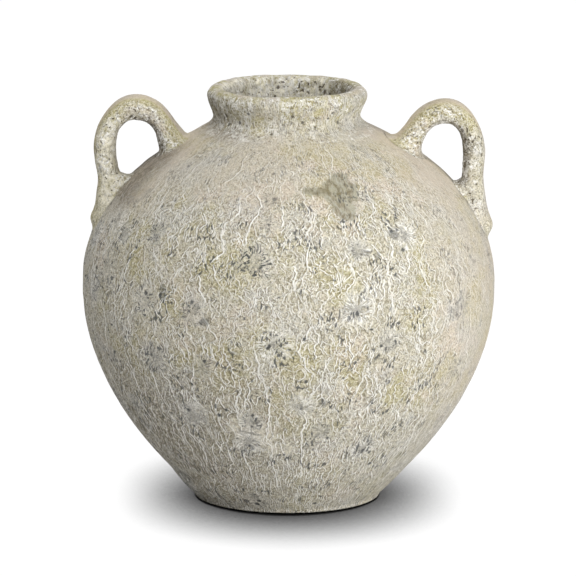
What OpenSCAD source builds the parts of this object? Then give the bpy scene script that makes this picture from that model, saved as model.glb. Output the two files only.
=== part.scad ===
// Round-bellied two-handled jar of fired clay, thrown in sections and luted together.
// The jar stands on the XY plane with its axis along Z, and its handles lie along X.

/* [Overall] */
// Height from the ring the jar stands on to the crest of its lip
jar_h = 320; // [290:1:360]
// Diameter of the belly at its widest line
belly_d = 317; // [290:1:350]
// Height of the widest line, where the two thrown bowls meet
belly_h = 165; // [145:1:180]
// Diameter of the foot
foot_d = 142; // [120:1:160]

/* [Walls and foot] */
// Thickness of the thrown walls
wall_t = 10; // [8:0.5:12]
// Thickness of the floor disc
floor_t = 12; // [9:0.5:16]
// Width of the ring that the jar stands on
foot_ring_w = 13; // [10:0.5:18]
// Height of the floor disc's underside above the ground
foot_recess = 3; // [1:0.5:6]
// Rounding of the foot's outer edge
foot_edge_r = 3; // [1:0.5:5]
// Width of the ledge that carries the floor disc
ledge_w = 6; // [3:0.5:8]

/* [Neck and lip] */
// Diameter of the line where the neck's flared foot leaves the shoulder
shoulder_d = 138; // [130:1:150]
// Height of that line below the lip's crest
neck_h = 34; // [28:1:42]
// Outer diameter of the neck at its narrowest
neck_d = 112.6; // [108:0.2:118]
// Inner diameter of the neck at its narrowest
bore_d = 90; // [80:1:94]
// Outer diameter of the rolled lip
lip_d = 123; // [120:1:134]
// Diameter of the lip's crest
crest_d = 110; // [106:1:114]
// Inner diameter of the mouth
mouth_d = 95; // [92:1:100]
// Height of the rolled lip, from its seat on the collar to its crest
lip_h = 18; // [14:0.5:21]

/* [Joints] */
// Gap that the slip fills between luted faces
lute_gap = 0.2; // [0.1:0.05:0.3]
// Width of the V key along the middle of a joined edge
key_w = 5; // [3:0.5:6]
// Height of the V key
key_h = 3; // [2:0.5:4]
// Depth of the rebate that takes the collar's foot
rebate_h = 3; // [2:0.5:4]
// Length of the collar's spigot in the shoulder's opening
spigot_h = 6; // [4:0.5:9]
// Thickness of the collar's spigot
spigot_t = 7; // [5:0.5:9]
// Height of the coil pressed over the belly seam inside
coil_h = 28; // [20:1:36]
// Thickness of that coil
coil_t = 4.5; // [3:0.5:7]

/* [Handle straps] */
// Thickness of the pulled straps, seen from the front
strap_t = 17; // [14:0.5:19]
// Width of the straps, seen from the side
strap_w = 23; // [18:0.5:28]
// Depth to which a strap's core runs into the wall at its upper root
root_depth = 9; // [6:0.5:12]

/* [Left handle] */
// Height of the left handle's upper root above the belly line
left_root_rise = 110; // [106:0.5:113]
// Distance of its crown inside the belly's widest line
left_crown_in = 41; // [36.5:0.5:44.5]
// Height of its crown above the belly line
left_crown_rise = 148; // [142:1:154]
// Distance of its outer side inside the belly's widest line
left_reach_in = 9; // [3.5:0.5:10.5]
// Height of its landing on the wall above the belly line
left_landing_rise = 75.5; // [70:0.5:80]
// Height of its tail's tip above the belly line
left_tail_rise = 44; // [38:1:52]
// Thickness of its tail, over the wall
left_tail_t = 6; // [4:0.5:9]
// Extra clay in the crotch between its leg and the wall
left_web = 10; // [5:0.5:12]

/* [Right handle] */
// Height of the right handle's upper root above the belly line
right_root_rise = 108.5; // [105:0.5:112]
// Distance of its crown inside the belly's widest line
right_crown_in = 38; // [34.5:0.5:42.5]
// Height of its crown above the belly line
right_crown_rise = 145; // [139:1:151]
// Distance of its outer side inside the belly's widest line
right_reach_in = 8; // [1.5:0.5:9.5]
// Height of its landing on the wall above the belly line
right_landing_rise = 71.5; // [64:0.5:74]
// Height of its tail's tip above the belly line
right_tail_rise = 39; // [34:1:46]
// Thickness of its tail, over the wall
right_tail_t = 8; // [6:0.5:11]
// Extra clay in the crotch between its leg and the wall
right_web = 4; // [2:0.5:7]

/* [Hidden] */
$fn = 120;

// Radii and heights of the thrown body
belly_r = belly_d / 2;
foot_r = foot_d / 2;
shoulder_r = shoulder_d / 2;
shoulder_z = jar_h - neck_h;
neck_r = neck_d / 2;
bore_r = bore_d / 2;
lip_r = lip_d / 2;
crest_r = crest_d / 2;
mouth_r = mouth_d / 2;

// Swell of the lower bowl: how far its two end tangents reach, as shares of belly_h
foot_swell_share = 0.27;
belly_drop_share = 0.452;
// Slope at which the wall leaves the foot
foot_slope = 44;
// Swell of the shoulder: the same, as shares of its height over the belly line
belly_rise_share = 0.62;
shoulder_swell_share = 0.255;
// Slope at which the shoulder meets the neck's foot
shoulder_slope = 29;
curve_steps = 18;
edge_steps = 6;

// A cubic curve through four control points, its direction, and a point at a depth inside it
function bezier(p, t) = p[0] * pow(1 - t, 3) + 3 * p[1] * t * pow(1 - t, 2)
    + 3 * p[2] * t * t * (1 - t) + p[3] * pow(t, 3);
function bezier_way(p, t) = 3 * (p[1] - p[0]) * pow(1 - t, 2) + 6 * (p[2] - p[1]) * t * (1 - t)
    + 3 * (p[3] - p[2]) * t * t;
function unit(v) = v / norm(v);
function inset(p, t, depth) = bezier(p, t) + depth * unit([-bezier_way(p, t)[1], bezier_way(p, t)[0]]);
function inset_curve(p, depth, from, to, steps) =
    [for (i = [0:steps]) inset(p, from + (to - from) * i / steps, depth)];
function reversed(list) = [for (i = [len(list) - 1:-1:0]) list[i]];
function polar(r, a) = [r * cos(a), r * sin(a)];

// Where a rising curve passes a height, found by halving
function find_t(p, z, low = 0, high = 1, tries = 24) =
    tries == 0 ? (low + high) / 2
    : bezier(p, (low + high) / 2)[1] > z ? find_t(p, z, low, (low + high) / 2, tries - 1)
    : find_t(p, z, (low + high) / 2, high, tries - 1);

shoulder_rise = shoulder_z - belly_h;
lower_curve = [[foot_r, foot_edge_r],
               [foot_r, foot_edge_r] + polar(foot_swell_share * belly_h, foot_slope),
               [belly_r, belly_h * (1 - belly_drop_share)],
               [belly_r, belly_h]];
upper_curve = [[belly_r, belly_h],
               [belly_r, belly_h + belly_rise_share * shoulder_rise],
               [shoulder_r, shoulder_z] + polar(shoulder_swell_share * shoulder_rise, -shoulder_slope),
               [shoulder_r, shoulder_z]];
function wall_r(z) = z < belly_h ? bezier(lower_curve, find_t(lower_curve, z))[0]
    : bezier(upper_curve, find_t(upper_curve, z))[0];

// A V key across the middle of an edge, as a tongue below or a groove above the joint's plane
function key_points(inner_r, outer_r, z, ease) =
    let (mid = (inner_r + outer_r) / 2)
    [[mid - key_w / 2 + ease, z], [mid, z - key_h + ease], [mid + key_w / 2 - ease, z]];

// The floor disc and its seat
ledge_z = foot_recess + floor_t / 2;
floor_z = foot_recess + floor_t;
boss_r = foot_r - foot_ring_w;
disc_r = boss_r + ledge_w;
heel_rise = wall_t;
heel_t = find_t(lower_curve, floor_z + heel_rise);

module base_disc() {
    color([0.55, 0.51, 0.45])
    rotate_extrude()
    polygon([[0, foot_recess], [boss_r - lute_gap, foot_recess], [boss_r - lute_gap, ledge_z],
             [disc_r - lute_gap, ledge_z], [disc_r - lute_gap, floor_z], [0, floor_z]]);
}

module lower_bowl() {
    color([0.66, 0.63, 0.56])
    rotate_extrude()
    polygon(concat(
        [[boss_r, 0]],
        [for (i = [0:edge_steps])
            [foot_r - foot_edge_r, foot_edge_r] + polar(foot_edge_r, 90 * (i / edge_steps - 1))],
        inset_curve(lower_curve, 0, 1 / curve_steps, 1, curve_steps - 1),
        reversed(key_points(belly_r - wall_t, belly_r, belly_h, 0)),
        reversed(inset_curve(lower_curve, wall_t, heel_t, 1, curve_steps)),
        [[disc_r, floor_z], [disc_r, ledge_z], [boss_r, ledge_z]]));
}

// The shoulder's opening, its rebate and the collar in it
seat_z = shoulder_z - rebate_h;
spigot_r = bore_r + spigot_t;
opening_r = spigot_r + lute_gap;
opening_edge = inset(upper_curve, 1, wall_t);

module shoulder_bowl() {
    color([0.74, 0.71, 0.63])
    rotate_extrude()
    polygon(concat(
        key_points(belly_r - wall_t, belly_r, belly_h, lute_gap),
        inset_curve(upper_curve, 0, 0, 1, curve_steps),
        [[shoulder_r, seat_z], [opening_r, seat_z], [opening_r, opening_edge[1]]],
        reversed(inset_curve(upper_curve, wall_t, 0, 1, curve_steps))));
}

// The coil follows the inner wall across the seam
coil_low_t = find_t(lower_curve, belly_h - coil_h / 2);
coil_high_t = find_t(upper_curve, belly_h + coil_h / 2);
coil_steps = 5;

module seam_coil() {
    low = inset(lower_curve, coil_low_t, wall_t + lute_gap);
    high = inset(upper_curve, coil_high_t, wall_t + lute_gap);
    middle = [belly_r - wall_t - lute_gap - coil_t, belly_h];
    bulge = [low, [middle[0], low[1]], [middle[0], high[1]], high];
    color([0.58, 0.54, 0.47])
    rotate_extrude()
    polygon(concat(
        inset_curve(lower_curve, wall_t + lute_gap, coil_low_t, 1, coil_steps),
        inset_curve(upper_curve, wall_t + lute_gap, coil_high_t / coil_steps, coil_high_t, coil_steps - 1),
        [for (i = [1:coil_steps - 1]) bezier(bulge, 1 - i / coil_steps)]));
}

// Heights up the neck
lip_seat_z = jar_h - lip_h;
waist_share = 0.76;
waist_z = shoulder_z + waist_share * (lip_seat_z - shoulder_z);
collar_flare_share = 0.2;
collar_top_r = neck_r + collar_flare_share * (lip_r - neck_r);
bore_top_r = bore_r + collar_flare_share * (mouth_r - bore_r);
fillet_out_share = 0.65;
fillet_up_share = 0.45;
fillet_steps = 9;
fillet_curve = [[shoulder_r - lute_gap, shoulder_z],
                [shoulder_r - lute_gap, shoulder_z]
                    + polar(fillet_out_share * (shoulder_r - neck_r), 180 - shoulder_slope),
                [neck_r, waist_z - fillet_up_share * (waist_z - shoulder_z)],
                [neck_r, waist_z]];

module neck_collar() {
    color([0.70, 0.66, 0.57])
    rotate_extrude()
    polygon(concat(
        [[bore_r, seat_z - spigot_h], [spigot_r, seat_z - spigot_h], [spigot_r, seat_z],
         [shoulder_r - lute_gap, seat_z]],
        inset_curve(fillet_curve, 0, 0, 1, fillet_steps),
        [[collar_top_r, lip_seat_z]],
        reversed(key_points(bore_top_r, collar_top_r, lip_seat_z, 0)),
        [[bore_top_r, lip_seat_z], [bore_r, waist_z]]));
}

// The rolled lip: its underside, its outer shoulder and its inner shoulder
lip_wide_share = 0.62;
lip_wide_z = lip_seat_z + lip_wide_share * lip_h;
underside_out_share = 1 / 6;
underside_up_share = 1 / 3;
underside_h = lip_wide_z - lip_seat_z;
roll_steps = 8;
underside_curve = [[collar_top_r, lip_seat_z],
                   [collar_top_r + underside_out_share * underside_h,
                    lip_seat_z + underside_up_share * underside_h],
                   [lip_r, lip_wide_z - underside_up_share * underside_h],
                   [lip_r, lip_wide_z]];

module rim_roll() {
    color([0.72, 0.69, 0.60])
    rotate_extrude()
    polygon(concat(
        key_points(bore_top_r, collar_top_r, lip_seat_z, lute_gap),
        inset_curve(underside_curve, 0, 0, 1, roll_steps),
        [for (i = [1:roll_steps])
            [crest_r + (lip_r - crest_r) * cos(90 * i / roll_steps),
             lip_wide_z + (jar_h - lip_wide_z) * sin(90 * i / roll_steps)]],
        [for (i = [1:roll_steps])
            [crest_r - (crest_r - mouth_r) * sin(90 * i / roll_steps),
             lip_wide_z + (jar_h - lip_wide_z) * cos(90 * i / roll_steps)]],
        [[bore_top_r, lip_seat_z]]));
}

// The handle straps. A strap's core leaves the wall at station 0, passes its crown at 1 and its
// reach at 2, lands on the wall at 3 and runs down it to 4, where the thumbed tip starts.
// Thickness outside and inside the core, and width, each as shares at such stations
outer_share = [[0, 1.6], [0.45, 1.05], [1, 1.14], [1.6, 0.95], [2, 1], [3, 0.97], [4, 1]];
inner_share = [[0, 1.5], [0.5, 1.02], [1, 1.14], [1.6, 0.92], [2.3, 0.98], [2.55, 1], [2.95, 1.55], [4, 1.1]];
// How much of the web of clay is added inside the core, above and below the landing
web_share = [[2.58, 0], [2.82, 1], [3.2, 1], [3.6, 0]];
width_share = [[0, 1.4], [0.45, 1.05], [1, 1], [2, 0.94], [3, 1.04], [3.6, 1.24], [4, 1.2]];
// How far the core's curves pull from their ends, as shares of the way to the next station
rise_pull_share = 0.55;
crown_pull_share = 0.6;
reach_pull_share = 0.5;
leg_pull_share = 0.45;
tail_pull_share = 0.4;
// Height of the reach, as a share of the way from the landing to the crown
reach_height_share = 0.5;
left_root_lean = 66;
right_root_lean = 58;
landing_lean = 10;
// Squareness of the strap's section: 1 is an ellipse, and a lower power is squarer
section_power = 0.85;
strap_sides = 20;
rings = 10;
tip_rings = 5;
// The last ring stops short of the tip's pole by this share of the quarter turn
tip_end_share = 0.94;

// Eases between the rows of a table of shares
function eased(table, u, i = 0) =
    i >= len(table) - 1 || u <= table[i][0] ? table[i][1]
    : u >= table[i + 1][0] ? eased(table, u, i + 1)
    : table[i][1] + (table[i + 1][1] - table[i][1])
        * (1 - cos(180 * (u - table[i][0]) / (table[i + 1][0] - table[i][0]))) / 2;

// The way down the shoulder's wall at a height
function wall_way(z) = -unit(bezier_way(upper_curve, find_t(upper_curve, z)));

// The four curves of a strap's core, in the plane of the handle, with X away from the jar's axis
function core_curves(root_z, root_lean, crown_at, reach_at, landing_at, heel_at) =
    let (root_at = [wall_r(root_z), root_z] - polar(root_depth, root_lean),
         root_pull = polar(rise_pull_share * (crown_at[1] - root_at[1]), root_lean),
         rise_pull = [rise_pull_share * (crown_at[0] - root_at[0]), 0],
         crown_pull = [crown_pull_share * (reach_at[0] - crown_at[0]), 0],
         reach_pull = [0, reach_pull_share * (crown_at[1] - reach_at[1])],
         leg = reach_at[1] - landing_at[1],
         tail = landing_at[1] - heel_at[1],
         landing_way = polar(1, landing_lean - 90))
    [[root_at, root_at + root_pull, crown_at - rise_pull, crown_at],
     [crown_at, crown_at + crown_pull, reach_at + reach_pull, reach_at],
     [reach_at, reach_at - [0, leg_pull_share * leg], landing_at - leg_pull_share * leg * landing_way,
      landing_at],
     [landing_at, landing_at + tail_pull_share * tail * landing_way,
      heel_at - tail_pull_share * tail * wall_way(heel_at[1]), heel_at]];

// One ring of the strap's skin: a squared ellipse, deeper on one side of the core than the other
function signed_power(v) = sign(v) * pow(abs(v), section_power);
function strap_ring(centre, way, out_t, in_t, width) =
    [for (j = [0:strap_sides - 1])
        let (a = 360 * j / strap_sides,
             depth = signed_power(cos(a)) * (cos(a) > 0 ? out_t : in_t),
             at = centre + depth * [-way[1], way[0]])
        [at[0], signed_power(sin(a)) * width / 2, at[1]]];

module strap(curves, web) {
    skin = [for (k = [0:len(curves) - 1], i = [0:rings - 1])
            let (t = i / rings, u = k + t)
            strap_ring(bezier(curves[k], t), unit(bezier_way(curves[k], t)),
                       eased(outer_share, u) * strap_t / 2,
                       eased(inner_share, u) * strap_t / 2 + eased(web_share, u) * web,
                       eased(width_share, u) * strap_w)];
    heel_at = curves[len(curves) - 1][3];
    heel_way = wall_way(heel_at[1]);
    last = len(curves);
    tip = [for (i = [0:tip_rings])
           let (a = 90 * tip_end_share * i / tip_rings)
           strap_ring(heel_at + heel_way * strap_t / 2 * sin(a), heel_way,
                      eased(outer_share, last) * strap_t / 2 * cos(a),
                      eased(inner_share, last) * strap_t / 2 * cos(a),
                      eased(width_share, last) * strap_w * cos(a))];
    hoops = concat(skin, tip);
    count = len(hoops);
    sides = strap_sides;
    polyhedron(
        [for (hoop = hoops, point = hoop) point],
        concat(
            [for (i = [0:count - 2], j = [0:sides - 1])
                [i * sides + j, (i + 1) * sides + (j + 1) % sides, (i + 1) * sides + j]],
            [for (i = [0:count - 2], j = [0:sides - 1])
                [i * sides + j, i * sides + (j + 1) % sides, (i + 1) * sides + (j + 1) % sides]],
            [for (j = [1:sides - 2]) [0, j + 1, j]],
            [for (j = [1:sides - 2]) (count - 1) * sides * [1, 1, 1] + [0, j, j + 1]]));
}

// The thrown body as one solid, grown by the slip's gap, which trims the straps to the wall
module wall_blank() {
    rotate_extrude()
    polygon(concat(
        [[0, foot_edge_r]],
        inset_curve(lower_curve, -lute_gap, 0, 1, curve_steps),
        inset_curve(upper_curve, -lute_gap, 1 / curve_steps, 1, curve_steps - 1),
        [[0, shoulder_z + lute_gap]]));
}

module handle(root_rise, root_lean, crown_in, crown_rise, reach_in, landing_rise, tail_rise, tail_t, web) {
    landing_z = belly_h + landing_rise;
    crown_z = belly_h + crown_rise - strap_t / 2 * eased(outer_share, 1);
    heel_z = belly_h + tail_rise + strap_t / 2;
    difference() {
        strap(core_curves(
            belly_h + root_rise, root_lean,
            [belly_r - crown_in, crown_z],
            [belly_r - reach_in - strap_t / 2, landing_z + reach_height_share * (crown_z - landing_z)],
            [wall_r(landing_z) + strap_t / 2, landing_z],
            [wall_r(heel_z) + tail_t - strap_t / 2, heel_z]), web);
        wall_blank();
    }
}

module left_handle() {
    color([0.68, 0.65, 0.56])
    mirror([1, 0, 0])
    handle(left_root_rise, left_root_lean, left_crown_in, left_crown_rise, left_reach_in,
           left_landing_rise, left_tail_rise, left_tail_t, left_web);
}

module right_handle() {
    color([0.76, 0.73, 0.64])
    handle(right_root_rise, right_root_lean, right_crown_in, right_crown_rise, right_reach_in,
           right_landing_rise, right_tail_rise, right_tail_t, right_web);
}

base_disc();
lower_bowl();
shoulder_bowl();
seam_coil();
neck_collar();
rim_roll();
left_handle();
right_handle();
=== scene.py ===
"""Weathered clay jar with two handles: its finished pieces, its light, its floor and its camera."""

import math
from types import SimpleNamespace

import bpy
import numpy as np
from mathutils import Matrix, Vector


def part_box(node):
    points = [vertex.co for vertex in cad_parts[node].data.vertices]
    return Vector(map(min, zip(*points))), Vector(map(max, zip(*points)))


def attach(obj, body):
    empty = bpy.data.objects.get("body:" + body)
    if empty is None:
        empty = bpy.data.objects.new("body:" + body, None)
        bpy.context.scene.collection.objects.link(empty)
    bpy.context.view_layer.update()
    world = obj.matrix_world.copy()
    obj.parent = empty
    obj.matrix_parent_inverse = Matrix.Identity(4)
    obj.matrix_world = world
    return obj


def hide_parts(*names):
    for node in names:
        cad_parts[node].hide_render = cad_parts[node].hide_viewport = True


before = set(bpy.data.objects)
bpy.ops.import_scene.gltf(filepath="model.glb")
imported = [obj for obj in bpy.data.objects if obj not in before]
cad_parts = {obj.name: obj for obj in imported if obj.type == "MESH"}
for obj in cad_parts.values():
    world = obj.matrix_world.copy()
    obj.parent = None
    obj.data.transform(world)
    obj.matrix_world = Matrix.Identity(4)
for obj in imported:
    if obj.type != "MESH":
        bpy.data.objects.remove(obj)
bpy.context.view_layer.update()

bl_info = {
    "name": "Weathered two-handled jar",
    "version": (1, 0, 0),
    "blender": (4, 5, 0),
    "location": "View3D > Sidebar > Jar",
    "description": "Builds a thrown clay jar with two pulled handles and a limed, pitted finish",
    "category": "Add Mesh",
}

MM = 0.001
UP = np.array([0.0, 0.0, 1.0])


def length(name, description, default, low=0.0):
    """A length in metres that the user can change."""
    return bpy.props.FloatProperty(name=name, description=description, default=default, min=low,
                                   precision=5, unit="LENGTH")


def share(name, description, default, low=0.0, high=4.0):
    """A plain number, such as a share of another size."""
    return bpy.props.FloatProperty(name=name, description=description, default=default, min=low,
                                   max=high, precision=3)


def slope(name, description, default):
    """An angle that the user can change, given here in degrees."""
    return bpy.props.FloatProperty(name=name, description=description, default=math.radians(default),
                                   subtype="ANGLE", unit="ROTATION")


def colour(name, description, red, green, blue):
    """A colour given by its screen values from 0 to 255."""
    linear = [screen_to_linear(value / 255) for value in (red, green, blue)]
    return bpy.props.FloatVectorProperty(name=name, description=description, default=linear, size=3,
                                         min=0.0, max=1.0, subtype="COLOR")


def screen_to_linear(value):
    """The light that a screen value from 0 to 1 stands for."""
    return value / 12.92 if value <= 0.04045 else ((value + 0.055) / 1.055) ** 2.4


def half_width(node):
    """Half of a node's width along X in the frame."""
    low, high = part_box(node)
    return (high[0] - low[0]) / 2


class JarSizes(bpy.types.PropertyGroup):
    """Sizes of the thrown body, its neck and its lip."""

    jar_h: length("Height", "Height from the ground to the lip's crest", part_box("rim_roll")[1][2])
    belly_r: length("Belly radius", "Radius at the widest line", half_width("lower_bowl"))
    belly_h: length("Belly height", "Height of the widest line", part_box("lower_bowl")[1][2])
    foot_r: length("Foot radius", "Radius of the foot", 71 * MM)
    foot_edge_r: length("Foot edge", "Rounding of the foot's outer edge", 3 * MM)
    foot_ring_w: length("Foot ring", "Width of the ring that the jar stands on", 13 * MM)
    foot_recess: length("Recess", "Height of the floor disc's underside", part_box("base_disc")[0][2])
    floor_z: length("Floor", "Height of the floor's upper face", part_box("base_disc")[1][2])
    disc_r: length("Floor radius", "Radius of the floor disc", half_width("base_disc"))
    ledge_w: length("Ledge", "Width of the ledge that carries the floor disc", 6 * MM)
    wall_t: length("Wall", "Thickness of the thrown walls", 10 * MM)
    shoulder_r: length("Shoulder radius", "Radius where the neck leaves the shoulder",
                       half_width("neck_collar"))
    neck_h: length("Neck height", "Height of that line below the lip's crest", 34 * MM)
    neck_r: length("Neck radius", "Outer radius of the neck at its narrowest", 56.3 * MM)
    bore_r: length("Bore radius", "Inner radius of the neck at its narrowest", 45 * MM)
    lip_r: length("Lip radius", "Outer radius of the rolled lip", half_width("rim_roll"))
    crest_r: length("Crest radius", "Radius of the lip's crest", 55 * MM)
    mouth_r: length("Mouth radius", "Inner radius of the mouth", 47.5 * MM)
    lip_h: length("Lip height", "Height of the lip from its seat to its crest", 18 * MM)
    key_w: length("Key width", "Width of the V key along a joined edge", 5 * MM)
    key_h: length("Key height", "Height of the V key", 3 * MM)
    rebate_h: length("Rebate", "Depth of the rebate that takes the collar's foot", 3 * MM)
    spigot_h: length("Spigot", "Length of the collar's spigot", 6 * MM)
    spigot_t: length("Spigot wall", "Thickness of the collar's spigot", 7 * MM)
    coil_h: length("Coil height", "Height of the coil pressed over the seam inside", 28 * MM)
    coil_t: length("Coil thickness", "Thickness of that coil", 4.5 * MM)
    foot_slope: slope("Foot slope", "Slope at which the wall leaves the foot", 44)
    shoulder_slope: slope("Shoulder slope", "Slope at which the shoulder meets the neck", 29)


class HandleSizes(bpy.types.PropertyGroup):
    """Sizes of the two pulled straps. Heights are over the belly line, and distances across are
    inside its radius."""

    strap_t: length("Thickness", "Thickness of a strap, seen from the front", 17 * MM)
    strap_w: length("Width", "Width of a strap, seen from the side", 23 * MM)
    root_depth: length("Root depth", "Depth of a strap's core in the wall at its root", 9 * MM)
    left_root_rise: length("Left root", "Height of the left handle's root", 110 * MM)
    left_crown_in: length("Left crown", "Distance of its crown inside the belly's radius", 41 * MM)
    left_crown_rise: length("Left crown height", "Height of its crown", 148 * MM)
    left_reach_in: length("Left reach", "The same for its outer side", 9 * MM)
    left_landing_rise: length("Left landing", "Height of its landing on the wall", 75.5 * MM)
    left_tail_rise: length("Left tail", "Height of its tail's tip", 44 * MM)
    left_tail_t: length("Left tail thickness", "Thickness of its tail over the wall", 6 * MM)
    left_root_lean: slope("Left root lean", "Slope at which it leaves the wall", 66)
    left_fillet: length("Left fillet", "Reach of the clay smoothed round its ends", 4 * MM)
    right_root_rise: length("Right root", "Height of the right handle's root", 108.5 * MM)
    right_crown_in: length("Right crown", "Distance of its crown inside the belly's radius", 38 * MM)
    right_crown_rise: length("Right crown height", "Height of its crown", 145 * MM)
    right_reach_in: length("Right reach", "The same for its outer side", 8 * MM)
    right_landing_rise: length("Right landing", "Height of its landing on the wall", 71.5 * MM)
    right_tail_rise: length("Right tail", "Height of its tail's tip", 39 * MM)
    right_tail_t: length("Right tail thickness", "Thickness of its tail over the wall", 8 * MM)
    right_root_lean: slope("Right root lean", "Slope at which it leaves the wall", 58)
    right_fillet: length("Right fillet", "Reach of the clay smoothed round its ends", 6 * MM)
    left_web: length("Left web", "Extra clay in the crotch of its lower end", 10 * MM)
    right_web: length("Right web", "Extra clay in the crotch of its lower end", 4 * MM)


class FinishColours(bpy.types.PropertyGroup):
    """Colours of the weathered skin."""

    clay: colour("Clay", "The greige slip that covers the jar", 185, 179, 161)
    olive: colour("Olive", "Yellow-green lichen tint in the slip", 176, 168, 122)
    rose: colour("Rose", "Pinkish clay that shows through thin slip", 205, 190, 174)
    grey: colour("Grey", "Cool worn slip", 188, 187, 184)
    cream: colour("Cream", "Pale warm clay between the creases", 224, 217, 196)
    milk: colour("Milk", "Thin lime wash on the handles' legs and in the mouth", 240, 234, 214)
    lime: colour("Lime", "Whitish lime in the creases", 253, 251, 245)
    slate: colour("Slate", "Dark blue-grey stain in the pits", 66, 70, 72)
    # Umber is soil in the creases and specks, and also the painted shadow beside the lime threads
    umber: colour("Umber", "Dark brown-green soil in the creases", 112, 103, 76)
    # Soil is real soil in the pits and the crust's holes, and also painted shade on faces in shadow
    soil_and_shade: colour("Soil", "Brown soil on the faces that look inwards", 80, 70, 52)
    # Mauve is painted shade low on the left and along the left edge, and a darkening towards the bottom at
    # the front
    mauve: colour("Mauve", "Dull brown-grey dirt low on the left side", 102, 95, 89)
    worn: colour("Worn", "Bare dark patch on the shoulder", 164, 161, 142)
    inner: colour("Inner", "Raw clay inside the jar", 168, 158, 138)


class StageSettings(bpy.types.PropertyGroup):
    """Camera, lamps and floor."""

    camera_distance: length("Camera distance", "From the camera to the jar's axis", 4.5)
    camera_elevation: slope("Camera elevation", "Angle at which the camera looks down", 11)
    aim_z: length("Aim height", "Height at which the camera looks", 162 * MM)
    aim_x: length("Aim", "Sideways shift of the camera's aim", -0.6 * MM, -1.0)
    lens: share("Lens", "Focal length in millimetres on a 36 mm sensor", 364.8, 50, 800)
    key_power: share("Key power", "Power of the low lamp on the right in watts", 24.0, 0, 400)
    front_power: share("Front power", "Power of the lamp at the front in watts", 16.5, 0, 400)
    top_power: share("Top power", "Power of the high lamp on the left in watts", 19.5, 0, 400)
    back_power: share("Back power", "Power of the lamp behind the jar in watts", 8.0, 0, 400)
    lamp_size: length("Lamp size", "Diameter of the lamps' discs", 1.2)
    lamp_distance: length("Lamp distance", "From the lamps to the jar", 2.0)
    fill: share("Fill", "Brightness of the light from all sides", 0.205)
    floor_glow: share("Floor glow", "Brightness that open floor has of its own for the camera", 1.0)
    side_reach: length("Side shadow", "How far off the jar's sides it still darkens that glow", 0.05)
    front_reach: length("Front shadow", "The same before and behind the jar", 0.1)
    front_depth: share("Front depth", "How much deeper the shadow is before the jar", 0.5)
    side_contact: length("Side contact", "Width of the dark line at the foot's sides", 0.001)
    front_contact: length("Front contact", "Width of the dark line before the foot", 0.008)
    floor_shade: share("Floor shade", "Share of the lamps' light that the camera sees on it", 0.06)
    floor_tone: share("Floor tone", "Whiteness of the floor", 0.72)


def smooth(low, high, value):
    """Eases from 0 to 1 as value goes from low to high, which may also be lower than low."""
    t = np.clip((value - low) / (high - low), 0, 1)
    return t * t * (3 - 2 * t)


def unit(vectors):
    """The vectors at length 1."""
    return vectors / np.maximum(np.linalg.norm(vectors, axis=-1, keepdims=True), 1e-12)


def polar(radius, angle):
    """A point in the profile's plane by radius and angle."""
    return np.array([radius * np.cos(angle), radius * np.sin(angle)]).T


def bezier(points, t):
    """Points of a cubic curve at the values t."""
    t = np.asarray(t)[:, None]
    a, b, c, d = points
    return a * (1 - t) ** 3 + 3 * b * t * (1 - t) ** 2 + 3 * c * t**2 * (1 - t) + d * t**3


def bezier_way(points, t):
    """Directions of a cubic curve at the values t."""
    t = np.asarray(t)[:, None]
    a, b, c, d = points
    return unit((b - a) * (1 - t) ** 2 + 2 * (c - b) * t * (1 - t) + (d - c) * t**2)


def run_lengths(points):
    """Length along a line at each of its points."""
    return np.concatenate([[0], np.cumsum(np.linalg.norm(np.diff(points, axis=0), axis=1))])


def even(points, step):
    """The same line with points about a step apart, its ends kept."""
    along = run_lengths(points)
    count = max(1, round(along[-1] / step))
    at = np.linspace(0, along[-1], count + 1)
    return np.stack([np.interp(at, along, points[:, k]) for k in range(points.shape[1])], axis=1)


def eased(table, u):
    """Eases between the rows of a table of shares."""
    stations, values = np.array(table).T
    result = np.full(len(u), values[0])
    for k in range(len(stations) - 1):
        t = np.clip((u - stations[k]) / (stations[k + 1] - stations[k]), 0, 1)
        result += (values[k + 1] - values[k]) * (1 - np.cos(np.pi * t)) / 2
    return result


def soft_noise(points, cell, seed):
    """Smooth noise from -1 to 1 with a grain of one cell."""
    spot = points / cell + 97.0 * seed
    base = np.floor(spot).astype(np.int64)
    part = spot - base
    part = part * part * (3 - 2 * part)
    total = np.zeros(len(points))
    for corner in range(8):
        bits = np.array([corner & 1, corner >> 1 & 1, corner >> 2 & 1])
        x, y, z = (base + bits).T
        mixed = (x * 73856093 ^ y * 19349663 ^ z * 83492791 ^ seed * 2654435761) & 0xFFFFFFFF
        mixed = ((mixed ^ mixed >> 15) * 2246822519) & 0xFFFFFFFF
        mixed = ((mixed ^ mixed >> 13) * 3266489917) & 0xFFFFFFFF
        value = (mixed ^ mixed >> 16) / 2147483647.5 - 1
        total += value * np.prod(np.where(bits == 1, part, 1 - part), axis=1)
    return total


class Way:
    """The line that the jar's skin follows, from under the foot, over the lip, down the neck's bore.
    marks gives the index at which each stretch starts."""

    def __init__(self):
        self.points = np.zeros((0, 2))
        self.marks = {}

    def add(self, name, points):
        """Adds a stretch whose first point is the last one so far."""
        self.marks[name] = max(len(self.points) - 1, 0)
        self.points = np.concatenate([self.points, points[1:] if len(self.points) else points])
        self.marks["end"] = len(self.points) - 1


# Spacing of the skin's points, and how many of them lie round the jar
SKIN_STEP = 1.55 * MM
FINE_STEP = 1.2 * MM
TURNS = 600
# Points drawn on a curve and on a quarter of an arc, before they are spaced evenly
CURVE_POINTS = 240
ARC_POINTS = 40
# Swell of the body's two curves and of the neck's, as shares of their heights and widths
FOOT_SWELL_SHARE = 0.27
BELLY_DROP_SHARE = 0.452
BELLY_RISE_SHARE = 0.62
SHOULDER_SWELL_SHARE = 0.255
WAIST_SHARE = 0.76
COLLAR_FLARE_SHARE = 0.2
FILLET_OUT_SHARE = 0.65
FILLET_UP_SHARE = 0.45
LIP_WIDE_SHARE = 0.62


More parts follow.
